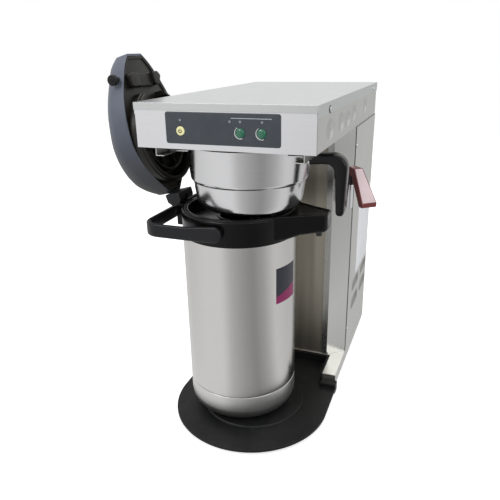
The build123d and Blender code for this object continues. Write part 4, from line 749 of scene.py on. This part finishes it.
def makeLidShell():
    start, end, wall = lid["start"], lid["end"], lid["wall"]
    rows = []
    for s in (start + 1.0, *np.linspace(start + 2, end - 2, 96), end - 1.0):
        outer, inner = lidSection(s, 0.0), lidSection(s, wall)
        # Both walls, with a low ridge between them along each rim.
        ridges = (outer[[0, -1]] + inner[[0, -1]]) / 2 - (0, lid["ridge"])
        rows.append(atStation(s, np.concatenate([outer, ridges[1:], inner[::-1], ridges[:1]])))
    parts = [skin(rows, lidFrame)]
    # Rounded end walls: (back from the end, drawn in).
    for edge, sign in ((start, -1), (end, 1)):
        steps = ((wall + 0.5, 0.4), (1.6, 0.0), (0.6, 0.3), (0.15, 0.9), (0, 2.0))
        rows = [atStation(edge - sign * back, lidSection(edge - sign, by)) for back, by in steps]
        parts.append(skin(rows, lidFrame))
    piece = makePiece("lidShell", parts, "lid", "lid_shell", angle=40)
    window = oblong(lid["windowStart"], -lid["windowHalf"], lid["windowEnd"], lid["windowHalf"], (5, 3, 3, 5))
    cutOut(piece, slab(window, lid["windowFrom"], 90, 0.0, lidFrame))
    for side in (-1, 1):
        cutOut(piece, disc(lid["bore"], lid["boreFrom"], lid["boreTo"], 0.0,
                           lidSideways(lid["axleS"], lid["axleD"], side), 32))
    shade(piece, 40)


lever = {"start": 46.0, "end": 181.0, "half": 28.0, "gap": 0.15, "axle": 3.5, "knob": 7.0, "knobAt": 50.5,
         "knobHigh": 6.0, "knobGroove": 0.05, "pin": 3.4, "rib": 4.0, "ribAt": (150.0, 163.0, 172.0),
         "ribFoot": 24.0, "toe": 9.0}


def makePumpLever(start, end, half, gap, axle, knob, knobAt, knobHigh, knobGroove, pin, rib, ribAt, ribFoot,
                  toe):
    # The paddle is the crown itself between the window's sides, with two ribs down to an axle with two knobs.
    y = np.linspace(-half, half, 41)
    rows = []
    for s in np.linspace(start, end, 70):
        front, back = (atStation(s, np.column_stack([y, np.interp(y, *lidSection(s, by, 53).T)]))
                       for by in (gap, lid["wall"]))
        rows.append(np.concatenate([front, back[::-1]]))
    parts = [skin(rows, lidFrame)]
    crown = through(np.array([*ribAt, end]), lid["s"], lid["depth"]) - 3.0
    root, bend, knee = ribAt
    low, rimAt, tipAt = lid["axleD"] - 4, half - 1, knobAt + knobHigh
    outline = rounded([(root, ribFoot), (bend, ribFoot, 3), (end - toe, low, 3), (end, low, 3),
                       (end, crown[3] - 3), (knee, crown[2] - 2), (bend, crown[1] - 2), (root, crown[0] - 2)])
    grooved = knob * (1 - knobGroove * (np.arange(48) % 2))
    for side in (-1, 1):
        at = lidSideways(lid["axleS"], lid["axleD"], side)
        parts += [slab(outline, rimAt - rib, rimAt, 0.4, lidSideways(0, 0, side)),
                  disc(grooved, knobAt, tipAt, 1.0, at), disc(pin, tipAt - 0.6, tipAt + 0.4, 0.3, at)]
    parts.append(disc(axle, -knobAt - 1, knobAt + 1, 0.2, lidSideways(lid["axleS"], lid["axleD"]), 32))
    makePiece("pumpPaddle", parts, "black", "pump_lever")


# boxes: (start and end across the lid, height); the two ends carry a round knob each
inside = {"plateAt": 1.4, "thick": 1.6, "gap": 0.25, "border": 3.5, "borderShares": (0, 0, 0.15, 0.85, 1, 1),
          "borderHeights": (1.6, 0.3, 0.0, 0.0, 0.3, 1.6), "boxStart": 164.0, "boxEnd": 182.0,
          "boxes": ((-36, -21, 8.0), (-22, 16, 3.2), (15, 36, 8.0)), "knobs": (-28.5, 26.0),
          "knobRadius": 6.0, "knobTop": 7.95}


def makeLidPlate(plateAt, thick, gap, border, borderShares, borderHeights, boxStart, boxEnd, boxes, knobs,
                 knobRadius, knobTop):
    # The black plate inside the rim with its raised border, and across the nose a box with two higher ends.
    s = np.linspace(lid["start"] + lid["wall"] + 1, lid["end"] - lid["wall"] - 1.2, 90)
    half = through(s, lid["s"], lid["half"]) - lid["wall"] - gap
    outline = np.concatenate([np.column_stack([s, -half]), np.column_stack([s, half])[::-1]])
    parts = [slab(outline, plateAt, plateAt + thick, 0.3, lidFrame)]
    # Border: a band between the outline and its inset, outline + share (inset - outline), at its own heights.
    shares, heights = np.array(borderShares, float)[:, None], np.array(borderHeights)[:, None]
    band = outline[:, None] + shares * (inset(outline, border) - outline)[:, None]
    rows = np.concatenate([band, np.broadcast_to(heights, (*band.shape[:2], 1))], -1)
    faces = gridFaces(*band.shape[:2], closeRows=True, closeCols=True).tolist()
    parts.append((placed(rows.reshape(-1, 3), lidFrame), faces))
    for near, far, high in boxes:
        parts.append(slab(oblong(boxStart, near, boxEnd, far, 3), -2, high, 1.6, lidDownwards(), 4))
    for y in knobs:
        parts.append(disc(knobRadius, 4, knobTop, 1.0, lidDownwards((boxStart + boxEnd) / 2, y)))
    makePiece("lidPlate", parts, "lidInside", "lid_underside")


drum = {"s": 94.2, "openHalf": 24.0, "low": -2.0, "boss": 24.0, "cap": 13.0, "spokes": 8,
        "spokeEnds": (25.0, 45.8), "spokeHalf": 1.1, "spokeHigh": 4.2,
        "outerWall": ((59.0, -2), (66.0, -2), (66.0, 9.5, 1.0), (64.6, 10.5, 0.6), (64.6, 13.4, 1.2),
                      (62.4, 15.0, 1.0), (59.0, 15.0, 1.2)),
        "innerWall": ((46.0, -2), (49.5, -2), (49.5, 8.5, 0.8), (48.6, 9.6, 0.5), (46.9, 9.6, 0.5),
                      (46.0, 8.5, 0.8))}


def makeLidDrum(s, openHalf, low, boss, cap, spokes, spokeEnds, spokeHalf, spokeHigh, outerWall, innerWall):
    # The big sealing drum: a stepped ring, open towards the nose for the siphon, an inner ring, a boss with
    # its cap, and spokes between boss and ring.
    at = lidDownwards(s)
    parts = [moved(partLathe(rounded(outerWall, 3), openHalf, 360 - openHalf), at),
             moved(partLathe(rounded(innerWall, 3), 0.01, 359.99, 160), at),
             disc(boss, low, 6.0, 1.5, at, 96, 4), disc(cap, 5.5, 9.0, 1.2, at, 64, 4)]
    bar = oblong(spokeEnds[0], -spokeHalf, spokeEnds[1], spokeHalf)
    for i in range(spokes):
        angle = math.radians(22.5 + 360 / spokes * i)
        turned = bar @ ((math.cos(angle), math.sin(angle)), (-math.sin(angle), math.cos(angle)))
        parts.append(slab(turned, low, spokeHigh, 0.4, at))
    makePiece("lidDrum", parts, "lidInside", "lid_seal", angle=28)


makeLidShell()
makePumpLever(**lever)
makeLidPlate(**inside)
makeLidDrum(**drum)
softened("lid_hinge_block", "lidHingeBlock", 0.9, "hinge")
print("lid made")

cone = {"floor": 327.5, "profile": ((68.5, 327.5, 9.0), (73.0, 340.0), (76.3, 363.4, 1.2), (78.6, 365.6, 0.8),
                                    (79.7, 367.6, 1.0), (83.4, 406.5), (83.9, 409.2, 1.0), (84.6, 410.8, 0.7),
                                    (84.5, 412.0, 0.5)),
        "wall": 1.2, "outlet": 6.0, "outletWall": 1.5, "drop": 3.0, "wingHalf": 48.0, "wingOut": 95.3,
        "wingTop": 404.5, "wingThick": 1.5, "wingCurve": 83.0}


def makeCone(floor, profile, wall, outlet, outletWall, drop, wingHalf, wingOut, wingTop, wingThick,
             wingCurve):
    # One turned outline: out along the floor, up the wall with its step and beaded rim, and back down inside.
    low, tip = floor + wall, outlet + outletWall
    outer = rounded([(outlet, floor), *profile], 8)
    inner = outer[::-1] - (wall, 0)
    inner = inner[inner[:, 0] > outlet + 1]
    inner[:, 1] = np.maximum(inner[:, 1], low)
    spout = rounded([(outlet, low), (outlet, floor - drop), (tip, floor - drop, 0.5), (tip, low)], 3)
    parts = [lathe(np.concatenate([outer, inner, [(outlet, low)]]), steps=256), lathe(spout, steps=48)]
    # A flat wing on each side that slides on a rail: straight outside, and along the cone's own curve inside.
    y = np.linspace(wingHalf, -wingHalf, 25)
    curve = np.column_stack([np.sqrt(wingCurve ** 2 - y ** 2), y])
    wing = np.concatenate([oblong(60, -wingHalf, wingOut, wingHalf, (0, 3, 3, 0))[1:-1], curve])
    for outline in ((wing * (-1, 1))[::-1], wing):
        parts.append(slab(outline, wingTop - wingThick, wingTop, 0.4))
    makePiece("coneShell", parts, "cone", "cone_shell", angle=26)


handle = {"outer": ((84.5, 401.0), (133.8, 402.2, 19), (131.0, 320.8)),
          "inner": ((84.5, 386.6), (116.6, 388.4, 12), (120.2, 320.8)),
          "half": 10.0, "steps": 90, "power": 4.5}


def makeHandle(outer, inner, half, steps, power):
    # The outer and the inner line of the handle in equal steps; at each pair stands a rounded-box section:
    # |a|^power + |b|^power = 1, which draws in at the tip.
    outer, inner = spaced(rounded(outer, 24), steps), spaced(rounded(inner, 24), steps)
    turn = np.linspace(0, 2 * np.pi, 56, endpoint=False)
    a, b = (np.sign(wave) * abs(wave) ** (2 / power) for wave in (np.cos(turn), np.sin(turn)))
    left = np.minimum(np.arange(steps)[::-1] / 5.0, 1)
    shrink = np.sqrt(np.where(left < 1, 1 - (1 - left) ** 2 * 0.75, 1.0))[:, None]
    middle, reach = (outer + inner) / 2, (outer - inner) / 2
    x, z = (middle[:, k:k + 1] + reach[:, k:k + 1] * a * shrink for k in (0, 1))
    y = np.broadcast_to(half * b, x.shape) * shrink
    makePiece("coneHandle", [carried(np.stack([x, y, z], -1))], "grip", "cone_handle", angle=50)


makeCone(**cone)
makeHandle(**handle)
softened("cone_bracket", "coneBracket", 0.5, "bright")
print("cone made")

head = {"front": -91.0, "panelThick": 1.0, "stand": 1.0, "left": -72.0, "right": 73.0, "low": 420.7,
        "high": 458.0, "buttonZ": 436.0, "powerX": -52.0, "powerRadius": 5.3, "powerDome": 0.35,
        "brewX": (24.5, 50.5), "brewRadius": 5.6, "brewDome": 1.7, "keyGap": 0.3, "lightZ": 448.5,
        "lightX": (-52.0, 11.7, 24.6, 51.0), "lightRadius": 1.4, "lightGap": 0.1, "lineZ": 452.3,
        "lineX": (13.0, 62.5), "lineHalf": 0.35, "sign": 1.35, "signWall": 1.0, "signThick": 0.12,
        "signTurn": (128, 412), "signBar": (-0.45, 0.3, 0.45, 2.9), "crescentGap": 1.15, "highlightCrescent": (118, 292)}


def frontAt(x, z, out=0.0):
    # A frame on the head's front: x to the right, z up, and out towards the viewer.
    return (x, head["front"] - out, z), (1, 0, 0), (0, 0, 1), (0, -1, 0)


def domedCap(x, z, radius, high, dome, domeSteps=10, steps=72):
    # A turned cap in the front's frame: a straight skirt, a small rounded shoulder and a shallow dome.
    angle = np.linspace(np.pi / 2, 0, domeSteps)
    crown = np.column_stack([(radius - 0.5) * np.sin(angle), high + dome * np.cos(angle)])
    skirt = [(0.0, -3.0), (radius, -3.0), (radius, high - 0.4), (radius - 0.15, high - 0.1)]
    return moved(lathe(np.concatenate([skirt, crown]), steps=steps), frontAt(x, z))


def highlightCrescent(x, z):
    # Painted highlight: half a bright ring beside a brew key, shaped like the highlight on its ring: a round
    # section that thins out to both ends.
    turn = np.radians(np.linspace(*head["highlightCrescent"], 60))[:, None]
    swell = np.sin(np.linspace(0, np.pi, 60))[:, None] ** 0.7
    around = np.linspace(0, 2 * np.pi, 12, endpoint=False)
    radius = head["brewRadius"] + head["crescentGap"] + (0.08 + 0.72 * swell) * np.cos(around)
    out = head["panelThick"] + (0.08 + 0.45 * swell) * np.sin(around)
    return moved(carried(np.stack([radius * np.cos(turn), radius * np.sin(turn), out], -1)), frontAt(x, z))


def makeControls():
    thick, keyZ, powerX = head["panelThick"], head["buttonZ"], head["powerX"]
    keyTop = thick + head["stand"]
    outline = oblong(head["left"], head["low"], head["right"], head["high"], 3)
    panel = slab(outline, 0.02, thick, 0.6, frontAt(0, 0), 3, 0.1)
    piece = makePiece("controlPanel", [panel], "panel", "control_panel")
    holes = [(powerX, keyZ, head["powerRadius"] + head["keyGap"])]
    holes += [(x, keyZ, head["brewRadius"] + head["keyGap"]) for x in head["brewX"]]
    holes += [(x, head["lightZ"], head["lightRadius"] + head["lightGap"]) for x in head["lightX"]]
    for x, z, radius in holes:
        cutOut(piece, disc(radius, -2, 4, 0.0, frontAt(x, z)))
    shade(piece, 32)
    key = domedCap(powerX, keyZ, head["powerRadius"], keyTop, head["powerDome"])
    makePiece("powerKey", [key], "powerKey", "power_button")
    # The usual power sign: an open ring with a bar at its gap.
    low, thin = head["sign"], head["signThick"]
    ringShape = oblong(low, 0, low + head["signWall"], thin, (0, 0, 0.05, 0.05), 2)
    at = frontAt(powerX, keyZ - 0.2, keyTop + 0.30)
    sign = [moved(partLathe(ringShape, *head["signTurn"], 48), at),
            slab(oblong(*head["signBar"], 0.2, 3), 0, thin, 0.05, at)]
    makePiece("powerSign", sign, "symbol", body="power_key")
    for x, side, name in zip(head["brewX"], ("left", "right"), ("brewKeyLeft", "brewKeyRight")):
        key = domedCap(x, keyZ, head["brewRadius"], keyTop, head["brewDome"])
        makePiece(name, [key], "brewKey", "brew_button_" + side)
    # The bright half-rings stand in for the highlight on each brew key's ring: painted highlight.
    makePiece("keyHighlightCrescents", [highlightCrescent(x, keyZ) for x in head["brewX"]], "bright", "button_rings", angle=60)
    lights = [domedCap(x, head["lightZ"], head["lightRadius"], thick, 0.3, 6, 32) for x in head["lightX"]]
    makePiece("statusLights", lights, "lamp", body="chassis")
    half = head["lineHalf"]
    stripe = oblong(head["lineX"][0], -half, head["lineX"][1], half, 0.3, 3)
    makePiece("panelLine", [slab(stripe, thick - 0.1, thick + 0.08, 0.04, frontAt(0, head["lineZ"]))], "trim",
              body="chassis")


# welds on the head's sides are (y, z); those on the cover have their y alone
casing = {"weldX": 113.7, "welds": ((-22, 438), (41, 437), (84, 436), (128, 435), (224, 440), (300, 440)),
          "coverX": 115.0, "coverWelds": (60, 200), "coverWeldZ": 459.0, "screwY": -35.0, "screwZ": 458.5,
          "screwHole": 2.4, "washer": 4.6}
headSheets = {"top_cover": ("topCover", 0.9, "cover"), "head_front": ("headFront", 0.5, "head"),
              "head_sides": ("headSides", 0.4, "headSide"), "brew_rails": ("brewRails", 0.3, "side")}


def weldSpot(place, radius, high):
    # A shallow domed spot: height falls off as the square of the reach.
    reach = np.linspace(1, 0, 6)
    crown = np.column_stack([radius * reach, high * (1 - reach ** 2)])
    return moved(lathe(np.concatenate([[(0.0, -0.3), (radius, -0.3)], crown]), steps=32), place)


def makeFasteners(weldX, welds, coverX, coverWelds, coverWeldZ, screwY, screwZ, screwHole, washer):
    # Weld spots on the head's and the cover's sides, and a dark washer behind each of the front screws.
    spots, washers = [], []
    profile = oblong(screwHole, -0.2, washer, 0.5, (0, 0, 0.3, 0.3), 3)
    for side in (-1, 1):
        spots += [weldSpot(onFlank(weldX * side, y, z, side), 3.0, 0.35) for y, z in welds]
        spots += [weldSpot(onFlank(coverX * side, y, coverWeldZ, side), 2.0, 0.3) for y in coverWelds]
        washers.append(moved(lathe(profile, steps=40), onFlank(coverX * side, screwY, screwZ, side)))
    makePiece("weldSpots", spots, "side", body="chassis")
    makePiece("screwWashers", washers, "black", body="chassis")


makeControls()
for node, values in headSheets.items():
    softened(node, *values)
makeFasteners(**casing)
print("head made")

# the two last numbers set how dark the painted shade in the vents' hollows gets; seam gives the width of the
# painted shade along the front and top gaps
tower = {"front": 154.4, "back": 338.0, "low": 25.0, "high": 414.0, "out": 115.0, "thick": 1.2, "hem": 0.35,
         "ventY": (219.0, 300.0), "ventZ": (95.0, 130.0), "ventHalf": 22.0, "ventRadius": 7.6,
         "ventDeep": 2.6, "seam": np.array([0.9, 1.3]), "ventShade": 2.2, "deepestShade": 0.72}


def gridLines(start, end, count, seams, vents, reach, steps):
    # Even lines from start to end, and closer ones round the vents and at the joint.
    close = [np.linspace(vent - reach, vent + reach, steps) for vent in vents]
    lines = np.unique(np.concatenate([np.linspace(start, end, count), seams, *close]))
    return lines[(lines >= start) & (lines <= end)]


def makeSidePanel(side, name, node, front, back, low, high, out, thick, hem, ventY, ventZ, ventHalf,
                  ventRadius, ventDeep, seam, ventShade, deepestShade):
    # The panel's outer face is a height field: pressed in round each vent by the distance to its middle line,
    # gently above and steeply below; the back face follows it a sheet's thickness behind.
    y = gridLines(front, back, 40, front + seam, ventY, 32, 65)
    z = gridLines(low, high, 50, high - seam, ventZ, 9, 37)
    gridY, gridZ = np.meshgrid(y, z, indexing="ij")
    depth = np.zeros_like(gridY)
    for middleY in ventY:
        for middleZ in ventZ:
            along, rise = np.maximum(abs(gridY - middleY) - ventHalf, 0), gridZ - middleZ
            reach = np.sqrt(along ** 2 + np.where(rise > 0, rise * 0.8, rise * 1.25) ** 2) / ventRadius
            t = np.clip(1.5 - reach, 0, 1)
            depth = np.maximum(depth, ventDeep * t * t * (3 - 2 * t))
    rim = np.minimum(np.minimum(gridY - y[0], y[-1] - gridY), np.minimum(gridZ - z[0], z[-1] - gridZ))
    depth += np.where(rim < 0.01, hem, 0)
    outer, inner = (np.stack([side * (out - depth - behind), gridY, gridZ], -1) for behind in (0, thick))
    rows, cols = gridY.shape
    count = rows * cols
    number = np.arange(count).reshape(rows, cols)
    around = np.concatenate([number[0], number[1:, -1], number[-1, -2::-1], number[-2:0:-1, 0]])
    nextOne = np.roll(around, -1)
    edges = np.stack([around, nextOne, nextOne + count, around + count], -1)
    faces = gridFaces(rows, cols)
    points = np.concatenate([outer, inner]).reshape(-1, 3)
    every = np.concatenate([faces, faces + count, edges]).tolist()
    panel = makePiece(name, [(points, every)], "panelSide", node, angle=40)
    # Painted shade: how far each point is pressed in darkens it, and the open gaps along the front and top
    # edges are painted dark as their shade.
    place = np.empty(len(panel.data.vertices) * 3)
    panel.data.vertices.foreach_get("co", place)
    x, y, z = place.reshape(-1, 3).T / mm
    paintedShade = np.clip((out - abs(x)) / ventDeep * ventShade, 0, deepestShade)
    paintedShade[(y < front + seam[0] + 0.01) | (z > high - seam[0] - 0.01)] = 1.0
    stored = panel.data.attributes.new("pressShade", "FLOAT", "POINT")
    stored.data.foreach_set("value", paintedShade.astype(np.float32))


makeSidePanel(-1, "sidePanelLeft", "left_side_panel", **tower)
makeSidePanel(1, "sidePanelRight", "right_side_panel", **tower)
softened("left_corner_post", "cornerPostLeft", 0.6, "post")
softened("right_corner_post", "cornerPostRight", 0.6, "post")
barePlate = slab(oblong(214, 150, 330, 290, 2), -0.05, 0.35, 0.15, onFlank(tower["out"]))
makePiece("barePlate", [barePlate], "plain", body="chassis")
softened("base_chassis", "baseTray", 0.7, "side")
softened("drip_plate", "dripPlate", 0.7, "plate")
print("tower and base made")

# start and end of the chamfer; the lever's face runs from the bend down to the tip
faucet = {"start": (86.6, 132.4), "end": (113.7, 153.2), "z": 345.0, "bend": 46.0, "tip": 84.0, "top": 361.0,
          "tipZ": 318.0, "rootHalf": 5.5, "tipHalf": 11.5, "planStart": 34.0, "margin": 1.3, "proud": 0.35}


def makeLeverFace(start, end, z, bend, tip, top, tipZ, rootHalf, tipHalf, planStart, margin, proud):
    # The pale face lies on the lever's slope: a strip that widens as the lever does, rounded at its corners.
    start, end = np.array(start), np.array(end)
    chamfer = (end - start) / np.linalg.norm(end - start)
    along, up, out = np.array([*chamfer, 0]), np.array([0, 0, 1.0]), np.array([chamfer[1], -chamfer[0], 0])
    origin = np.array([*(start + end) / 2, z])
    slopeStart = origin + out * bend + up * (top - z)
    run = origin + out * tip + up * (tipZ - z) - slopeStart
    length = np.linalg.norm(run)
    run /= length
    normal = np.cross(run, along)
    normal = normal if normal @ up > 0 else -normal
    grow = (tipHalf - rootHalf) / (tip - planStart)
    near, far, foot = rootHalf + grow * (bend - planStart) - margin, tipHalf - margin, length - 1.4
    outline = rounded([(1.0, -near, 1), (foot, -far, 1), (foot, far, 1), (1.0, near, 1)])
    face = slab(outline, -0.3, proud, 0.2, (slopeStart, run, along, normal))
    makePiece("leverFace", [face], "leverFace", body="faucet_handle")


softened("faucet_lever", "faucetLever", 0.7, "red")
softened("faucet_body", "faucetBody", 0.6, "faucetBlack")
makeLeverFace(**faucet)
print("faucet made")

# place in millimetres, angles in degrees, focus in pixels of the photograph
camera = {"place": (252.3, -653.45, 522.9), "yaw": 21.264, "pitch": 20.753, "roll": -1.080, "focus": 524.04,
          "photoWidth": 500, "sensor": 36.0}


def makeCamera(place, yaw, pitch, roll, focus, photoWidth, sensor):
    yaw, pitch, roll = (math.radians(angle) for angle in (yaw, pitch, roll))
    ahead = Vector((-math.sin(yaw) * math.cos(pitch), math.cos(yaw) * math.cos(pitch), -math.sin(pitch)))
    level = Vector((math.cos(yaw), math.sin(yaw), 0))
    above = level.cross(ahead)
    right = math.cos(roll) * level + math.sin(roll) * above
    up = -math.sin(roll) * level + math.cos(roll) * above
    data = bpy.data.cameras.new("photoView")
    data.sensor_width = sensor
    data.lens = focus / photoWidth * sensor
    data.clip_start = 0.01
    data.clip_end = 50
    eye = newObject("photoView", data)
    columns = zip(right, up, -ahead, (v * mm for v in place))
    eye.matrix_world = Matrix((*columns, (0, 0, 0, 1)))
    bpy.context.scene.camera = eye


makeCamera(**camera)

# room: how bright the surroundings are by direction, as share of a turn (0.5 is straight ahead) and level
studio = {"floorSize": 6.0, "floorColour": 0.80, "floorGlow": 0.62, "fill": 0.62, "lift": 2.6, "room": [
    (0.0, 0.64), (0.12, 0.76), (0.25, 0.84), (0.36, 0.96), (0.455, 0.96), (0.50, 0.66), (0.56, 0.49),
    (0.62, 0.37), (0.68, 0.53), (0.75, 0.86), (0.86, 0.72), (1.0, 0.64)]}


def roomLevel(tree, vector, stops):
    # Brightness of the room in one direction, read from the stops by the turn about Z.
    parts = separated(tree, vector)
    turn = mathNode(tree, "ARCTAN2", parts["X"], mathNode(tree, "MULTIPLY", parts["Y"], -1.0))
    share = mathNode(tree, "MULTIPLY_ADD", turn, 0.5 / math.pi, 0.5)
    node = newNode(tree, "ValToRGB", {"Fac": share})
    elements = node.color_ramp.elements
    elements[0].position = stops[0][0]
    elements[1].position = stops[-1][0]
    for position, _ in stops[1:-1]:
        elements.new(position)
    for element, (_, level) in zip(elements, stops):
        element.color = (level, level, level, 1)
    return node.outputs["Color"], parts["Z"]


def mixShader(tree, ray, first, second):
    # The second shader for one kind of ray, the first for all others.
    path = tree.nodes.get("Light Path") or newNode(tree, "LightPath")
    return newNode(tree, "MixShader", {0: path.outputs[ray], 1: first, 2: second}).outputs[0]


def makeFloor(floorSize, floorColour, floorGlow, room):
    # Pale floor that keeps the shadow; to steel it is as bright as the room in that direction.
    half = floorSize / 2
    corners = [(-half, -half, 0), (half, -half, 0), (half, half, 0), (-half, half, 0)]
    mesh = bpy.data.meshes.new("studioFloor")
    mesh.from_pydata(corners, [], [(0, 1, 2, 3)])
    floor = newObject("studioFloor", mesh)
    material, tree, bsdf = newMaterial("paleFloor")
    seen = mathNode(tree, "MULTIPLY", newNode(tree, "LightPath").outputs["Is Camera Ray"], floorGlow)
    fill(tree, bsdf.inputs, {"Base Color": (floorColour,) * 3, "Roughness": 0.9, "Specular IOR Level": 0.0,
                             "Emission Color": (1, 1, 1), "Emission Strength": seen})
    level, _ = roomLevel(tree, objectVector(tree), room)
    glow = newNode(tree, "Emission", {"Color": level})
    mixed = mixShader(tree, "Is Glossy Ray", bsdf.outputs[0], glow.outputs[0])
    fill(tree, tree.nodes["Material Output"].inputs, {"Surface": mixed})
    mesh.materials.append(material)


def makeWorld(fillLevel, lift, room):
    # The camera sees white; steel sees the room, brighter upwards; the rest is an even fill.
    world = bpy.data.worlds.new("softRoom")
    bpy.context.scene.world = world
    world.use_nodes = True
    tree = world.node_tree
    tree.nodes.clear()
    level, up = roomLevel(tree, newNode(tree, "TexCoord").outputs["Generated"], room)
    lifted = mixColour(tree, mathNode(tree, "MULTIPLY", up, lift, clamp=True), level, (1.0, 1.0, 1.0))
    even, seenBySteel, seenByCamera = (
        newNode(tree, "Background", {"Color": colour, "Strength": strength}).outputs[0]
        for colour, strength in (((1, 1, 1), fillLevel), (lifted, 1.0), ((1, 1, 1), 1.0)))
    shown = mixShader(tree, "Is Glossy Ray", even, seenBySteel)
    shown = mixShader(tree, "Is Camera Ray", shown, seenByCamera)
    newNode(tree, "OutputWorld", {"Surface": shown})


lamps = [
    {"name": "keySoftbox", "place": (-1.1, -1.7, 1.9), "aim": (0, 0, 0.25), "size": (1.4, 1.0), "power": 26},
    {"name": "fillSoftbox", "place": (1.9, -1.0, 1.3), "aim": (0, 0.1, 0.2), "size": (1.2, 1.2), "power": 14},
    {"name": "topSoftbox", "place": (0.1, 0.4, 2.3), "aim": (0, 0.1, 0.3), "size": (1.8, 1.8), "power": 16},
]


def makeLamp(name, place, aim, size, power):
    data = bpy.data.lights.new(name, "AREA")
    data.shape = "RECTANGLE"
    data.size, data.size_y = size
    data.energy = power
    lamp = newObject(name, data)
    lamp.location = place
    lamp.rotation_euler = (Vector(aim) - Vector(place)).to_track_quat("-Z", "Y").to_euler()


makeFloor(studio["floorSize"], studio["floorColour"], studio["floorGlow"], studio["room"])
makeWorld(studio["fill"], studio["lift"], studio["room"])
for lamp in lamps:
    makeLamp(**lamp)
bpy.context.scene.view_settings.view_transform = "Standard"
print("camera, floor and lamps placed")
